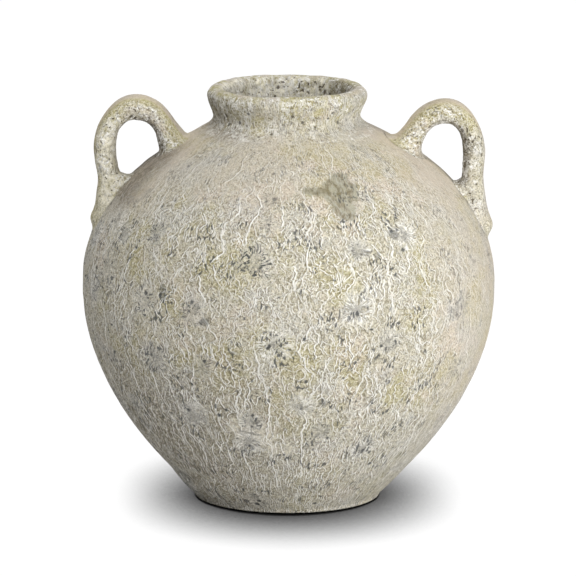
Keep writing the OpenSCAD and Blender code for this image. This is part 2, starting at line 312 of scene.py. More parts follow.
def body_curves(sizes):
    """The two curves of the thrown body, from the foot to the belly and on to the shoulder."""
    shoulder_z = sizes.jar_h - sizes.neck_h
    rise = shoulder_z - sizes.belly_h
    foot = np.array([sizes.foot_r, sizes.foot_edge_r])
    belly = np.array([sizes.belly_r, sizes.belly_h])
    shoulder = np.array([sizes.shoulder_r, shoulder_z])
    lower = [foot, foot + polar(FOOT_SWELL_SHARE * sizes.belly_h, sizes.foot_slope),
             belly - [0, BELLY_DROP_SHARE * sizes.belly_h], belly]
    upper = [belly, belly + [0, BELLY_RISE_SHARE * rise],
             shoulder + polar(SHOULDER_SWELL_SHARE * rise, -sizes.shoulder_slope), shoulder]
    return lower, upper


def neck_curves(sizes):
    """The neck's fillet, the radii at the lip's seat, and the lip's underside."""
    shoulder_z = sizes.jar_h - sizes.neck_h
    seat_z = sizes.jar_h - sizes.lip_h
    waist_z = shoulder_z + WAIST_SHARE * (seat_z - shoulder_z)
    shoulder = np.array([sizes.shoulder_r, shoulder_z])
    out = polar(FILLET_OUT_SHARE * (sizes.shoulder_r - sizes.neck_r), math.pi - sizes.shoulder_slope)
    waist = np.array([sizes.neck_r, waist_z])
    fillet = [shoulder, shoulder + out, waist - [0, FILLET_UP_SHARE * (waist_z - shoulder_z)], waist]
    seat_out = np.array([sizes.neck_r + COLLAR_FLARE_SHARE * (sizes.lip_r - sizes.neck_r), seat_z])
    seat_in = np.array([sizes.bore_r + COLLAR_FLARE_SHARE * (sizes.mouth_r - sizes.bore_r), seat_z])
    wide_z = seat_z + LIP_WIDE_SHARE * sizes.lip_h
    third = (wide_z - seat_z) / 3
    underside = [seat_out, seat_out + [third / 2, third], np.array([sizes.lip_r, wide_z - third]),
                 np.array([sizes.lip_r, wide_z])]
    return fillet, seat_out, seat_in, underside


def skin_way(sizes):
    """The whole line of the jar's skin."""
    t = np.linspace(0, 1, CURVE_POINTS)
    quarter = np.linspace(0, np.pi / 2, ARC_POINTS)
    lower, upper = body_curves(sizes)
    fillet, seat_out, seat_in, underside = neck_curves(sizes)
    wide_z = underside[3][1]
    top = sizes.jar_h - wide_z
    boss_r = sizes.foot_r - sizes.foot_ring_w
    edge = np.array([sizes.foot_r - sizes.foot_edge_r, sizes.foot_edge_r])
    way = Way()
    way.add("foot", even(np.array([[boss_r, 0], [edge[0], 0]]), 3 * SKIN_STEP))
    way.add("edge", even(edge + polar(sizes.foot_edge_r, quarter - np.pi / 2), SKIN_STEP / 2))
    way.add("lower", even(bezier(lower, t), SKIN_STEP))
    way.add("upper", even(bezier(upper, t), SKIN_STEP))
    way.add("neck", even(np.concatenate([bezier(fillet, t), [seat_out]]), FINE_STEP))
    crest = [sizes.crest_r, wide_z]
    outward = crest + np.stack([(sizes.lip_r - crest[0]) * np.cos(quarter), top * np.sin(quarter)], 1)
    inward = crest + np.stack([(sizes.mouth_r - crest[0]) * np.sin(quarter), top * np.cos(quarter)], 1)
    way.add("lip", even(np.concatenate([bezier(underside, t), outward, inward, [seat_in]]), FINE_STEP))
    waist_z = fillet[3][1]
    bore_end = sizes.jar_h - sizes.neck_h - sizes.rebate_h - sizes.spigot_h
    way.add("bore", even(np.array([seat_in, [sizes.bore_r, waist_z], [sizes.bore_r, bore_end]]),
                         2 * FINE_STEP))
    return way


def way_normals(points):
    """Outward normals of a line that runs up the jar's outside."""
    run = np.gradient(points, axis=0)
    return unit(np.stack([run[:, 1], -run[:, 0]], axis=1))


def turned(points, turns=TURNS):
    """Turns a line round the jar's axis into rows of points."""
    angle = 2 * np.pi * np.arange(turns) / turns
    x = points[:, :1] * np.cos(angle)
    y = points[:, :1] * np.sin(angle)
    return np.stack([x, y, np.repeat(points[:, 1:2], turns, axis=1)], axis=2)


# Places on the front, each with its bearing from the camera's side in degrees, its height and its
# reach in millimetres, and how dark its petals and how white its rays are
FANS = [
    (-43.8, 225, 11, 1.0, 0.5), (-43.5, 175, 17, 1.0, 0.5), (-27.2, 170, 16, 0.9, 0.5),
    (-40.0, 131, 17, 0.8, 0.5), (-24.6, 130, 12, 0.8, 0.5), (-10.0, 210, 19, 1.0, 0.4),
    (-6.5, 253, 10, 0.6, 0.2), (-6.6, 236, 9, 0.5, 0.4), (37.3, 224, 15, 0.3, 1.0),
    (21.1, 218, 12, 0.7, 0.8), (18.5, 175, 18, 0.5, 1.0), (51.9, 163, 12, 0.5, 0.8),
    (-14.5, 67, 15, 0.7, 0.9), (-11.7, 84, 13, 0.7, 0.7), (27.9, 60, 13, 0.8, 0.9),
    (28.4, 148, 13, 0.6, 0.6), (3.5, 100, 14, 0.4, 0.8), (10.2, 77, 11, 0.7, 0.5),
    (-17.8, 12, 12, 0.8, 0.4), (-31.0, 88, 15, 0.5, 0.8), (-4.0, 150, 18, 0.3, 0.9),
]
# How many more are strewn over the sides and the back, clear of the front, and between what
# limits their heights, reaches and tones lie. They stand a gap apart, in millimetres, where a
# degree is so many millimetres of the wall
FAN_SEED = 7
STREWN_FANS = 90
FRONT_BEARING = 55
STREWN_HEIGHTS = (8, 262)
STREWN_REACHES = (8, 19)
STREWN_TONES = (0.3, 1)
STREWN_GAP = 20
WALL_PER_DEGREE = 2.2
# How far out a fan has values, as a share of its reach, and the place that means outside all fans
FAN_EDGE_SHARE = 1.15
NO_FAN = 3.0
# The bare patch on the shoulder and the small stains, each with its bearing and its height as
# above, then its half width and half height in millimetres and its lean in degrees
WORN_PATCHES = [(19.6, 257, 14.5, 14, 0), (19.4, 247, 9, 13, 6), (10.6, 257.5, 10, 4.5, -8),
                (21.8, 264.5, 7, 7, 0)]
STAINS = [(-23.6, 164.5, 5, 3, 20), (33.5, 226, 4.5, 4, -40), (26.4, 212, 2, 4.5, -30),
          (10.2, 102, 2, 5, 30), (-37.0, 183, 3, 6, 10)]
# Places where a thin wash of lime lies on the wall, told in the same way
PALE_PATCHES = [(-12, 78, 20, 13, -25), (-3, 62, 11, 7, 0)]
WORN_SEED, STAIN_SEED, PALE_SEED = 11, 17, 19
# Where a patch ends and where it is whole, as shares of its half width
PATCH_EDGE_SHARES = (1.12, 0.9)
# How far the bare patch is sunk, and how much of the wall's unevenness it has lost
WORN_DEPTH = 0.45 * MM
WORN_EVEN_SHARE = 0.6
# Radius of the round map in which streaks are drawn, about the body's middle radius
MAP_R = 130 * MM
# Points on each of the body's curves, for the outer wall as a line
PROFILE_POINTS = 400


def layers(points, rows):
    """The sum of several noises, each with its height, its grain in millimetres and its seed."""
    return sum(height * soft_noise(points, grain * MM, seed) for height, grain, seed in rows)


def axis_gap(points):
    """Distance of points from the jar's axis."""
    return np.maximum(np.hypot(points[:, 0], points[:, 1]), 1e-6)


def around(radius, angle, z=0.0):
    """A point by its distance from the axis, its angle round it and its height."""
    return np.array([radius * math.cos(angle), radius * math.sin(angle), z])


def on_wall(bearing, height, profile):
    """The point of the outer wall at a bearing in degrees and a height in millimetres, and its
    directions across and up the wall."""
    z = height * MM
    r, r_above = np.interp([z, z + MM], profile[:, 1], profile[:, 0])
    angle = math.radians(bearing - 90)
    up = unit(around(r_above - r, angle, MM))
    return around(r, angle, z), around(1, angle + math.pi / 2), up


def all_fans():
    """The fans listed for the front, and the ones strewn over the sides and the back."""
    rng = np.random.default_rng(FAN_SEED)
    strewn = []
    while len(strewn) < STREWN_FANS:
        bearing, height = rng.uniform(-180, 180), rng.uniform(*STREWN_HEIGHTS)
        reach = rng.uniform(*STREWN_REACHES)
        if abs(bearing) < FRONT_BEARING:
            continue
        gaps = [abs(((bearing - b + 180) % 360) - 180) * WALL_PER_DEGREE + abs(height - h)
                for b, h, *_ in strewn]
        if not gaps or min(gaps) > STREWN_GAP:
            strewn.append((bearing, height, reach, rng.uniform(*STREWN_TONES), rng.uniform(*STREWN_TONES)))
    return FANS + strewn


def wall_profile(sizes):
    """The outer wall as a fine line of radius and height, without the neck."""
    lower, upper = body_curves(sizes)
    t = np.linspace(0, 1, PROFILE_POINTS)
    return np.concatenate([bezier(lower, t), bezier(upper, t)[1:]])


def fan_values(points, sizes):
    """For each point, its place within the nearest fan, as a share of the fan's reach, with the
    fan's number, and the darkness and whiteness there."""
    profile = wall_profile(sizes)
    place = np.full((len(points), 3), NO_FAN)
    tones = np.zeros((len(points), 3))
    nearest = np.full(len(points), FAN_EDGE_SHARE)
    for number, (bearing, height, reach, dark, white) in enumerate(all_fans()):
        centre, across, up = on_wall(bearing, height, profile)
        offset = (points - centre) / (reach * MM)
        distance = np.linalg.norm(offset, axis=1)
        here = distance < nearest
        nearest[here] = distance[here]
        offset = offset[here]
        place[here] = np.stack([offset @ across, offset @ up, np.full(len(offset), number)], 1)
        tones[here] = [dark, white, 0]
    return place, tones


def patch_value(points, patches, sizes, seed):
    """How deep inside the nearest of some ragged patches each point lies, from 0 to 1."""
    profile = wall_profile(sizes)
    ragged = layers(points, ((0.14, 6, seed), (0.16, 2.4, seed + 1)))
    value = np.zeros(len(points))
    for bearing, height, half_w, half_h, lean in patches:
        centre, across, up = on_wall(bearing, height, profile)
        offset = (points - centre) / MM
        turn = math.radians(lean)
        sideways, upward = offset @ across, offset @ up
        x = (sideways * math.cos(turn) + upward * math.sin(turn)) / half_w
        y = (upward * math.cos(turn) - sideways * math.sin(turn)) / half_h
        near = np.abs(offset @ np.cross(across, up)) < 3 * half_h
        value = np.maximum(value, smooth(*PATCH_EDGE_SHARES, np.hypot(x, y) + ragged) * near)
    return value


def pits(points, centres, radii, depths):
    """Depth of the pits at each point."""
    depth = np.zeros(len(points))
    for centre, radius, deep in zip(centres, radii, depths):
        near = np.flatnonzero(np.abs(points[:, 2] - centre[2]) < radius)
        apart = np.linalg.norm(points[near] - centre, axis=1) / radius
        depth[near] = np.maximum(depth[near], deep * smooth(1, 0.25, apart))
    return depth


def drawn_pits(rng, centres, radii, depths):
    """Pits at some centres, with radii and depths drawn between limits in millimetres."""
    count = len(centres)
    return centres, rng.uniform(*radii, count) * MM, rng.uniform(*depths, count) * MM


# Pits in the darkest fan, how far out they lie as shares of its reach, and how many more are
# strewn over the body, between what heights in millimetres
BODY_PIT_SEED = 21
FAN_PITS = 5
FAN_PIT_SHARES = (0.2, 0.9)
BODY_PITS = 260
BODY_PIT_HEIGHTS = (6, 280)


def body_pits(sizes):
    """Pits strewn over the body, closer together in the fans."""
    rng = np.random.default_rng(BODY_PIT_SEED)
    profile = wall_profile(sizes)
    centres = []
    for bearing, height, reach, dark, _ in all_fans():
        for _ in range(round(FAN_PITS * dark)):
            turn, far = rng.uniform(0, 2 * np.pi), rng.uniform(*FAN_PIT_SHARES) * reach * MM
            centre, across, up = on_wall(bearing, height, profile)
            centres.append(centre + far * (across * math.cos(turn) + up * math.sin(turn)))
    for _ in range(BODY_PITS):
        centres.append(on_wall(rng.uniform(-180, 180), rng.uniform(*BODY_PIT_HEIGHTS), profile)[0])
    return drawn_pits(rng, centres, (1.6, 3.4), (0.25, 0.7))


# Pits seen on the front of the neck and the lip, by bearing and height, then how many more are
# strewn over their sides and back, between what limits, and how many inside them
NECK_PITS = [(-48.7, 311), (-30, 306), (-54, 302), (4, 305), (36, 306), (33, 302), (-21, 290),
             (-12, 292), (12, 300), (22, 296), (44, 298), (-40, 298)]
NECK_PIT_SEED = 23
MORE_NECK_PITS = 40
NECK_PIT_BEARINGS = (50, 310)
NECK_PIT_HEIGHTS = (288, 312)
BORE_PITS = 70
# Points along the lip's section to its outermost side, and to where it faces the mouth
LIP_OUT_POINTS = 14
LIP_IN_POINTS = 30


def neck_pits(sizes):
    """Pits of the neck and the lip, outside and inside."""
    rng = np.random.default_rng(NECK_PIT_SEED)
    way = skin_way(sizes)
    lip = way.marks["lip"]
    outside = way.points[way.marks["neck"]:lip + LIP_OUT_POINTS]
    inside = way.points[lip + LIP_IN_POINTS:way.marks["end"]]
    spots = NECK_PITS + [(rng.uniform(*NECK_PIT_BEARINGS), rng.uniform(*NECK_PIT_HEIGHTS))
                         for _ in range(MORE_NECK_PITS)]
    centres = []
    for bearing, height in spots:
        r = np.interp(height * MM, outside[:, 1], outside[:, 0])
        centres.append(around(r, math.radians(bearing - 90), height * MM))
    for _ in range(BORE_PITS):
        r, z = inside[rng.integers(len(inside))]
        centres.append(around(r, rng.uniform(0, 2 * np.pi), z))
    return drawn_pits(rng, centres, (1.3, 2.4), (0.5, 0.9))


# Height and grain in millimetres and seed of each noise that makes the wall uneven, and of those
# that the neck has besides
WALL_LUMPS = ((0.55, 62, 1), (0.32, 23, 2), (0.2, 10, 3), (0.14, 5.2, 4))
NECK_LUMPS = ((0.35, 12, 5), (0.22, 4.5, 6))
NECK_LUMPS_SHARE = 0.7
# Height over the ground below which the wall grows even
EVEN_H = 3 * MM


def weather(points, sizes):
    """How far the weathered skin stands over the thrown one, and the depth of its pits."""
    flat = points.reshape(-1, 3)
    z = flat[:, 2]
    neck = smooth(sizes.jar_h - sizes.neck_h, sizes.jar_h - sizes.neck_h * NECK_LUMPS_SHARE, z)
    height = MM * (layers(flat, WALL_LUMPS) + neck * layers(flat, NECK_LUMPS))
    hollow = np.maximum(pits(flat, *body_pits(sizes)), pits(flat, *neck_pits(sizes)))
    worn = patch_value(flat, WORN_PATCHES, sizes, WORN_SEED)
    height = height * (1 - WORN_EVEN_SHARE * worn) - hollow - WORN_DEPTH * worn
    height *= smooth(0, EVEN_H, z)
    return height.reshape(points.shape[:-1]), hollow.reshape(points.shape[:-1])


# The neck stands a little to one side of the body's axis, from below its line to above it
NECK_LEAN = -1.3 * MM
NECK_LEAN_FROM = -10 * MM
NECK_LEAN_TO = 12 * MM
# The lip sags in places
LIP_SAG = 0.5 * MM
SAG_GRAIN = 26 * MM
# The foot swells out on the left, up to a height
FOOT_LEAN = -2.6 * MM
FOOT_LEAN_H = 26 * MM
FOOT_WHOLE_H = 9 * MM


def grid_normals(points, closed=False):
    """Outward normals of rings of points that follow a way up the jar's outside. If closed, the
    last ring is next to the first."""
    round_step = np.roll(points, -1, axis=1) - np.roll(points, 1, axis=1)
    if closed:
        row_step = np.roll(points, -1, axis=0) - np.roll(points, 1, axis=0)
    else:
        row_step = np.gradient(points, axis=0)
    return unit(np.cross(round_step, row_step))


def skin_rows(way, first, last, sizes):
    """The weathered skin between two marks of the way: its points, normals and pits."""
    low, high = max(first - 1, 0), min(last + 1, len(way.points) - 1)
    line = way.points[low:high + 1]
    z = line[:, 1]
    normals = way_normals(way.points)[low:high + 1]
    thrown = turned(line)
    out = turned(np.stack([normals[:, 0], np.zeros(len(line))], 1))
    out[:, :, 2] = normals[:, 1:2]
    height, hollow = weather(thrown, sizes)
    points = thrown + out * height[:, :, None]
    shoulder_z = sizes.jar_h - sizes.neck_h
    lean = smooth(shoulder_z + NECK_LEAN_FROM, shoulder_z + NECK_LEAN_TO, z)[:, None]
    points[:, :, 0] += NECK_LEAN * lean
    by_foot = smooth(FOOT_LEAN_H, FOOT_WHOLE_H, z)[:, None]
    points[:, :, 0] += FOOT_LEAN * by_foot * np.clip(-thrown[:, :, 0] / sizes.foot_r, 0, 1)
    lip = smooth(sizes.jar_h - sizes.lip_h, sizes.jar_h, z)[:, None]
    sag = 1 + soft_noise(thrown.reshape(-1, 3) * [1, 1, 0], SAG_GRAIN, 9)
    points[:, :, 2] -= lip * LIP_SAG * sag.reshape(len(line), -1)
    keep = slice(first - low, first - low + last - first + 1)
    return points[keep], grid_normals(points)[keep], hollow[keep]


def grid_faces(rows, turns, closed):
    """Quads between rows of points round the axis, facing outwards for rows that run up outside."""
    last = rows if closed else rows - 1
    i, j = np.meshgrid(np.arange(last), np.arange(turns), indexing="ij")
    here, above = i * turns, (i + 1) % rows * turns
    beside = (j + 1) % turns
    return np.stack([here + j, here + beside, above + beside, above + j], axis=-1).reshape(-1, 4)


def make_piece(name, node, slot, points, faces, material, normals=None, **values):
    """Makes a mesh piece that stands for a node, with values for its finish at each point."""
    mesh = bpy.data.meshes.new(name)
    mesh.from_pydata(points.reshape(-1, 3).tolist(), [], [list(face) for face in faces])
    for key, value in values.items():
        vector = value.ndim > 1
        layer = mesh.attributes.new(key, "FLOAT_VECTOR" if vector else "FLOAT", "POINT")
        layer.data.foreach_set("vector" if vector else "value", value.astype(np.float32).ravel())
    mesh.shade_smooth()
    if normals is not None:
        mesh.normals_split_custom_set_from_vertices(normals.reshape(-1, 3).tolist())
    mesh.materials.append(material)
    piece = bpy.data.objects.new(name, mesh)
    bpy.context.scene.collection.objects.link(piece)
    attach(piece, "root")
    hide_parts(node)
    return piece


# How calm the skin is in some places, and how much less so in others
RIGHT_CALM = 0.7
SHOULDER_CALM = 0.5
LEFT_UNREST = 0.5
GROUND_UNREST = 0.3
UNDER_NECK_CALM = 0.6
LIP_CALM = 0.1
CREST_CALM = 0.8


def calm_value(points, sizes):
    """How smooth and rosy the skin is: most of all on the shoulder, below the handles."""
    radius, z = axis_gap(points), points[:, 2]
    side = points[:, 0] / radius
    ends = np.abs(side) + 0.1 * soft_noise(points, 22 * MM, 15)
    low = sizes.belly_h + 0.2 * (sizes.jar_h - sizes.belly_h)
    calm = smooth(0.7, 0.95, ends) * smooth(low, low + 60 * MM, z)
    calm = np.maximum(calm, RIGHT_CALM * smooth(0.55, 0.95, side))
    on_shoulder = smooth(sizes.belly_h + 70 * MM, sizes.belly_h + 100 * MM, z)
    calm = np.maximum(calm, SHOULDER_CALM * on_shoulder)
    calm -= LEFT_UNREST * smooth(0.2, -0.4, side) * smooth(low + 60 * MM, low - 20 * MM, z)
    calm -= GROUND_UNREST * smooth(120 * MM, 40 * MM, z)
    under_neck = smooth(sizes.shoulder_r + 24 * MM, sizes.shoulder_r, radius) * (z > sizes.belly_h)
    calm = np.maximum(calm, UNDER_NECK_CALM * under_neck)
    lip = smooth(sizes.jar_h - 32 * MM, sizes.jar_h - 26 * MM, z)
    calm = calm * (1 - lip) + LIP_CALM * lip
    top = z + 0.8 * MM * soft_noise(points, 9 * MM, 16)
    crest = smooth(sizes.jar_h - 4.5 * MM, sizes.jar_h - 2 * MM, top)
    return np.maximum(calm, CREST_CALM * crest * smooth(sizes.mouth_r, sizes.mouth_r + 3 * MM, radius))


# How soiled the mouth is in blotches, how dark its right inner wall is painted as the rim's shadow, and
# how much of its milk the blotches take
BLOTCH_SOIL = 0.35
RIM_SHADOW_SHARE = 0.74
BLOTCH_UNMILKED = 0.65
# How olive the mouth is where its patches are not
MOUTH_MOSS = 0.35


def inside_value(points, facing):
    """How far the skin faces into the mouth, how dark it is there, with soil in blotches and a painted
    shadow of the rim on the right inner wall, and how milky, which it is less in the blotches and not at
    all in that shadow."""
    radius = axis_gap(points)
    out = (facing[:, 0] * points[:, 0] + facing[:, 1] * points[:, 1]) / radius
    blotch = smooth(-0.1, 0.5, layers(points, ((1, 7, 61), (0.6, 3, 62))))
    # Painted shadow of the rim on the mouth's right inner wall
    right = smooth(0.5, 0.85, points[:, 0] / radius + 0.15 * soft_noise(points, 6 * MM, 63))
    inward = smooth(-0.2, -0.7, out)
    # The painted shadow on the right takes the milk away there
    milky = inward * (1 - right) * (1 - BLOTCH_UNMILKED * blotch)
    return inward, inward * np.maximum(BLOTCH_SOIL * blotch, RIM_SHADOW_SHARE * right), milky


def moss_value(points, inward, sizes):
    """How olive the lip and the mouth are, in patches."""
    lip = smooth(sizes.jar_h - 24 * MM, sizes.jar_h - 16 * MM, points[:, 2])
    patches = smooth(-0.2, 0.3, layers(points, ((1, 11, 65), (0.4, 4, 66))))
    return lip * np.where(inward > 0.5, MOUTH_MOSS + (1 - MOUTH_MOSS) * patches, patches)


# Heights between which the wall behind the left handle is painted brown as the handle's shadow, and how
# dark that painted shadow and the painted shade under the lip's left end are
HOLLOW_LOW = 222 * MM
HOLLOW_HIGH = 285 * MM
HOLLOW_EDGE = 20 * MM
HANDLE_SHADOW_SHARE = 0.8
LIP_END_SHADE_SHARE = 0.65


def shaded_value(points, sizes):
    """Painted shade: how brown the wall is painted behind the left handle, as the handle's shadow, and the
    lip's left end and the neck under it, as the lip's shade.
    """
    z = points[:, 2]
    # Painted shadow of the left handle on the wall behind it
    behind = smooth(-0.86, -0.97, points[:, 0] / axis_gap(points))
    behind *= smooth(HOLLOW_LOW, HOLLOW_LOW + HOLLOW_EDGE, z)
    behind *= smooth(HOLLOW_HIGH, HOLLOW_HIGH - HOLLOW_EDGE, z)
    # Painted shade under the lip's left end
    lip_end = smooth(-0.25, -0.97, points[:, 0] / (sizes.lip_r + NECK_LEAN))
    lip_end *= smooth(sizes.jar_h - 38 * MM, sizes.jar_h - 28 * MM, z)
    lip_end *= smooth(sizes.jar_h - 2 * MM, sizes.jar_h - 6 * MM, z)
    return np.maximum(HANDLE_SHADOW_SHARE * behind, LIP_END_SHADE_SHARE * lip_end)


# How milky the pale patches are, and the depth at which a pit is wholly dark
PALE_MILK = 0.4
DARK_PIT = 0.7 * MM


def skin_values(points, facing, along, hollow, sizes, crust):
    """Values for the finish at each point of a piece that is so far crusted. Where a crusted piece
    faces into the mouth, it is wholly crusted, and milky in places."""
    flat = points.reshape(-1, 3)
    angle = np.arctan2(flat[:, 1], flat[:, 0])
    along = np.repeat(along, points.shape[1])
    place, tones = fan_values(flat, sizes)
    inward, soil_and_shadow, milky = inside_value(flat, facing.reshape(-1, 3))
    return {
        "course": np.stack([MAP_R * np.cos(angle), MAP_R * np.sin(angle), along], axis=1),
        "fan": place,
        "tones": tones,
        "worn": patch_value(flat, WORN_PATCHES, sizes, WORN_SEED),
        "stain": patch_value(flat, STAINS, sizes, STAIN_SEED),
        "calm": calm_value(flat, sizes),
        # inside: soil in the mouth's blotches, and painted shade in the rim's shadow in the mouth, behind
        # the left handle and under the lip's left end
        "inside": np.maximum(soil_and_shadow, shaded_value(flat, sizes)),
        "milky": np.maximum(milky * (crust > 0),
                            PALE_MILK * patch_value(flat, PALE_PATCHES, sizes, PALE_SEED)),
        "moss": moss_value(flat, inward, sizes),
        "pit": hollow.reshape(-1) / DARK_PIT,
        "crust": np.maximum(crust, inward * (crust > 0)),
    }


# Streaks low on the wall are longer: how much less the pattern moves on there, and up to where
LOW_PACE = 0.55
PACE_HEIGHTS = (60 * MM, 170 * MM)


def lathe_piece(name, node, slot, sizes, parts, material, crust=0.0):
    """Makes a turned piece. Its parts are pairs of marks, for stretches of skin, and lines of
    hidden faces and inner wall, in order round the piece's section."""
    way = skin_way(sizes)
    pace = LOW_PACE + (1 - LOW_PACE) * smooth(*PACE_HEIGHTS, way.points[:, 1])
    lengths = np.cumsum(np.diff(run_lengths(way.points), prepend=0) * pace)
    stretches = []
    for part in parts:
        if isinstance(part, tuple):
            first, last = way.marks[part[0]], way.marks[part[1]]
            stretches.append((*skin_rows(way, first, last, sizes), lengths[first:last + 1]))
        else:
            points = turned(part)
            stretches.append((points, np.zeros_like(points), np.zeros(points.shape[:2]),
                              run_lengths(part) + 0.5))
    points, facing, hollow, along = [np.concatenate(values) for values in zip(*stretches)]
    plain = np.linalg.norm(facing, axis=2) < 0.5
    facing[plain] = grid_normals(points, True)[plain]
    values = skin_values(points, facing, along, hollow, sizes, crust)
    faces = grid_faces(len(points), TURNS, True)
    make_piece(name, node, slot, points, faces, material, facing, **values)


# Points on a curve from which an inner line is drawn, and among which a height is found
INSET_POINTS = 200
FIND_POINTS = 2000


def inset_line(curve, depth, start, end, step):
    """A line at a depth inside a curve."""
    t = np.linspace(start, end, INSET_POINTS)
    way = bezier_way(curve, t)
    return even(bezier(curve, t) + depth * np.stack([-way[:, 1], way[:, 0]], 1), step)


def find_t(curve, z):
    """Where a rising curve passes a height."""
    t = np.linspace(0, 1, FIND_POINTS)
    return float(np.interp(z, bezier(curve, t)[:, 1], t))


def key_line(inner, outer, sizes, z):
    """The V key across an edge, from inside to outside."""
    middle = (inner + outer) / 2
    return np.array([[middle - sizes.key_w / 2, z], [middle, z - sizes.key_h],
                     [middle + sizes.key_w / 2, z]])


def lip_key(sizes):
    """The V key between the collar and the lip."""
    _, seat_out, seat_in, _ = neck_curves(sizes)
    return key_line(seat_in[0], seat_out[0], sizes, seat_in[1])


# Spacing of points on the inner walls, and the slip between joined faces
INNER_STEP = 9 * MM
JOINT_GAP = 0.2 * MM
# Points round the floor disc, the rings under and over it, and the hole at its middle that a fan
# of faces closes. Then the ribs that fingers leave on it: half their depth, their width over 2 pi,
# the smooth edge they fade into, and the roughness of the clay
DISC_TURNS = 180
DISC_UNDER_RINGS = 30
DISC_OVER_RINGS = 60
DISC_MIDDLE = 0.5 * MM
RIB_RISE = 0.4 * MM
RIB_WAVE = 3.2 * MM
RIB_FADE = 6 * MM
DISC_ROUGHNESS = 0.12 * MM


class JAR_OT_base_disc(bpy.types.Operator):
    """Make the floor disc, ribbed by the thrower's fingers on top."""

    bl_idname = "jar.base_disc"
    bl_label = "Floor disc"

    def execute(self, context):
        sizes = context.scene.jar_sizes
        low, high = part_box("base_disc")
        boss_r = sizes.disc_r - sizes.ledge_w
        ledge_z = (low[2] + high[2]) / 2
        under = np.linspace(DISC_MIDDLE, boss_r, DISC_UNDER_RINGS)
        over = np.linspace(sizes.disc_r, DISC_MIDDLE, DISC_OVER_RINGS)
        ribs = RIB_RISE * (np.cos(over / RIB_WAVE) - 1)
        ribs *= smooth(sizes.disc_r, sizes.disc_r - RIB_FADE, over)
        line = np.concatenate([np.stack([under, np.full(DISC_UNDER_RINGS, low[2])], 1),
                               [[boss_r, ledge_z], [sizes.disc_r, ledge_z]],
                               np.stack([over, high[2] + ribs], 1)])
        flat = turned(line, DISC_TURNS).reshape(-1, 3)
        rough = DISC_ROUGHNESS * (soft_noise(flat, 6 * MM, 31) - 1)
        flat[:, 2] += np.where(flat[:, 2] > ledge_z, rough, -rough / 2)
        count = len(flat)
        flat = np.concatenate([flat, [[0, 0, flat[0, 2]], [0, 0, flat[-1, 2]]]])
        rim = np.arange(DISC_TURNS)
        beside = (rim + 1) % DISC_TURNS
        top = count - DISC_TURNS
        faces = grid_faces(len(line), DISC_TURNS, False).tolist()
        faces += np.stack([np.full(DISC_TURNS, count), beside, rim], 1).tolist()
        faces += np.stack([np.full(DISC_TURNS, count + 1), top + rim, top + beside], 1).tolist()
        piece = make_piece("base_disc_clay", "base_disc", "inner_clay", flat, faces,
                           raw_clay(context.scene.jar_colours))
        piece.data.set_sharp_from_angle(angle=math.radians(50))
        return {"FINISHED"}


class JAR_OT_bowls(bpy.types.Operator):
    """Make the two thrown bowls, which meet at the belly line."""

    bl_idname = "jar.bowls"
    bl_label = "Thrown bowls"

    def execute(self, context):
        sizes = context.scene.jar_sizes
        lower, upper = body_curves(sizes)
        wall = sizes.wall_t
        key = key_line(sizes.belly_r - wall, sizes.belly_r, sizes, sizes.belly_h)
        ledge_z = (sizes.foot_recess + sizes.floor_z) / 2
        boss_r = sizes.foot_r - sizes.foot_ring_w
        ledge_r = boss_r + sizes.ledge_w
        inner = inset_line(lower, wall, find_t(lower, sizes.floor_z + wall), 1, INNER_STEP)[::-1]
        ledge = np.array([[ledge_r, sizes.floor_z], [ledge_r, ledge_z], [boss_r, ledge_z]])
        skin = weathered_skin("weathered_body", context.scene.jar_colours)
        lathe_piece("lower_bowl_skin", "lower_bowl", "weathered_body", sizes,
                    [("foot", "upper"), key[::-1], inner, ledge], skin)
        seat_z = sizes.jar_h - sizes.neck_h - sizes.rebate_h
        opening_r = sizes.bore_r + sizes.spigot_t + JOINT_GAP
        inner = inset_line(upper, wall, 0, 1, INNER_STEP)[::-1]
        rebate = np.array([[sizes.shoulder_r, seat_z], [opening_r, seat_z], [opening_r, inner[0][1]]])
        lathe_piece("shoulder_bowl_skin", "shoulder_bowl", "weathered_body", sizes,
                    [("upper", "neck"), rebate, inner, key], skin)
        return {"FINISHED"}


# Points round the coil, and the steps between its rings against the wall and on its face. Then the
# dents that a thumb pressed in it: how many, how unevenly they lie, how deep they are, and the
# roughness of the clay
COIL_TURNS = 360
COIL_STEP = 3 * MM
COIL_FACE_STEP = 2 * MM
THUMB_DENTS = 46
DENT_DRIFT = 0.8
DENT_DRIFTS = 5
DENT_RISE = 0.9 * MM
COIL_ROUGHNESS = 0.3 * MM


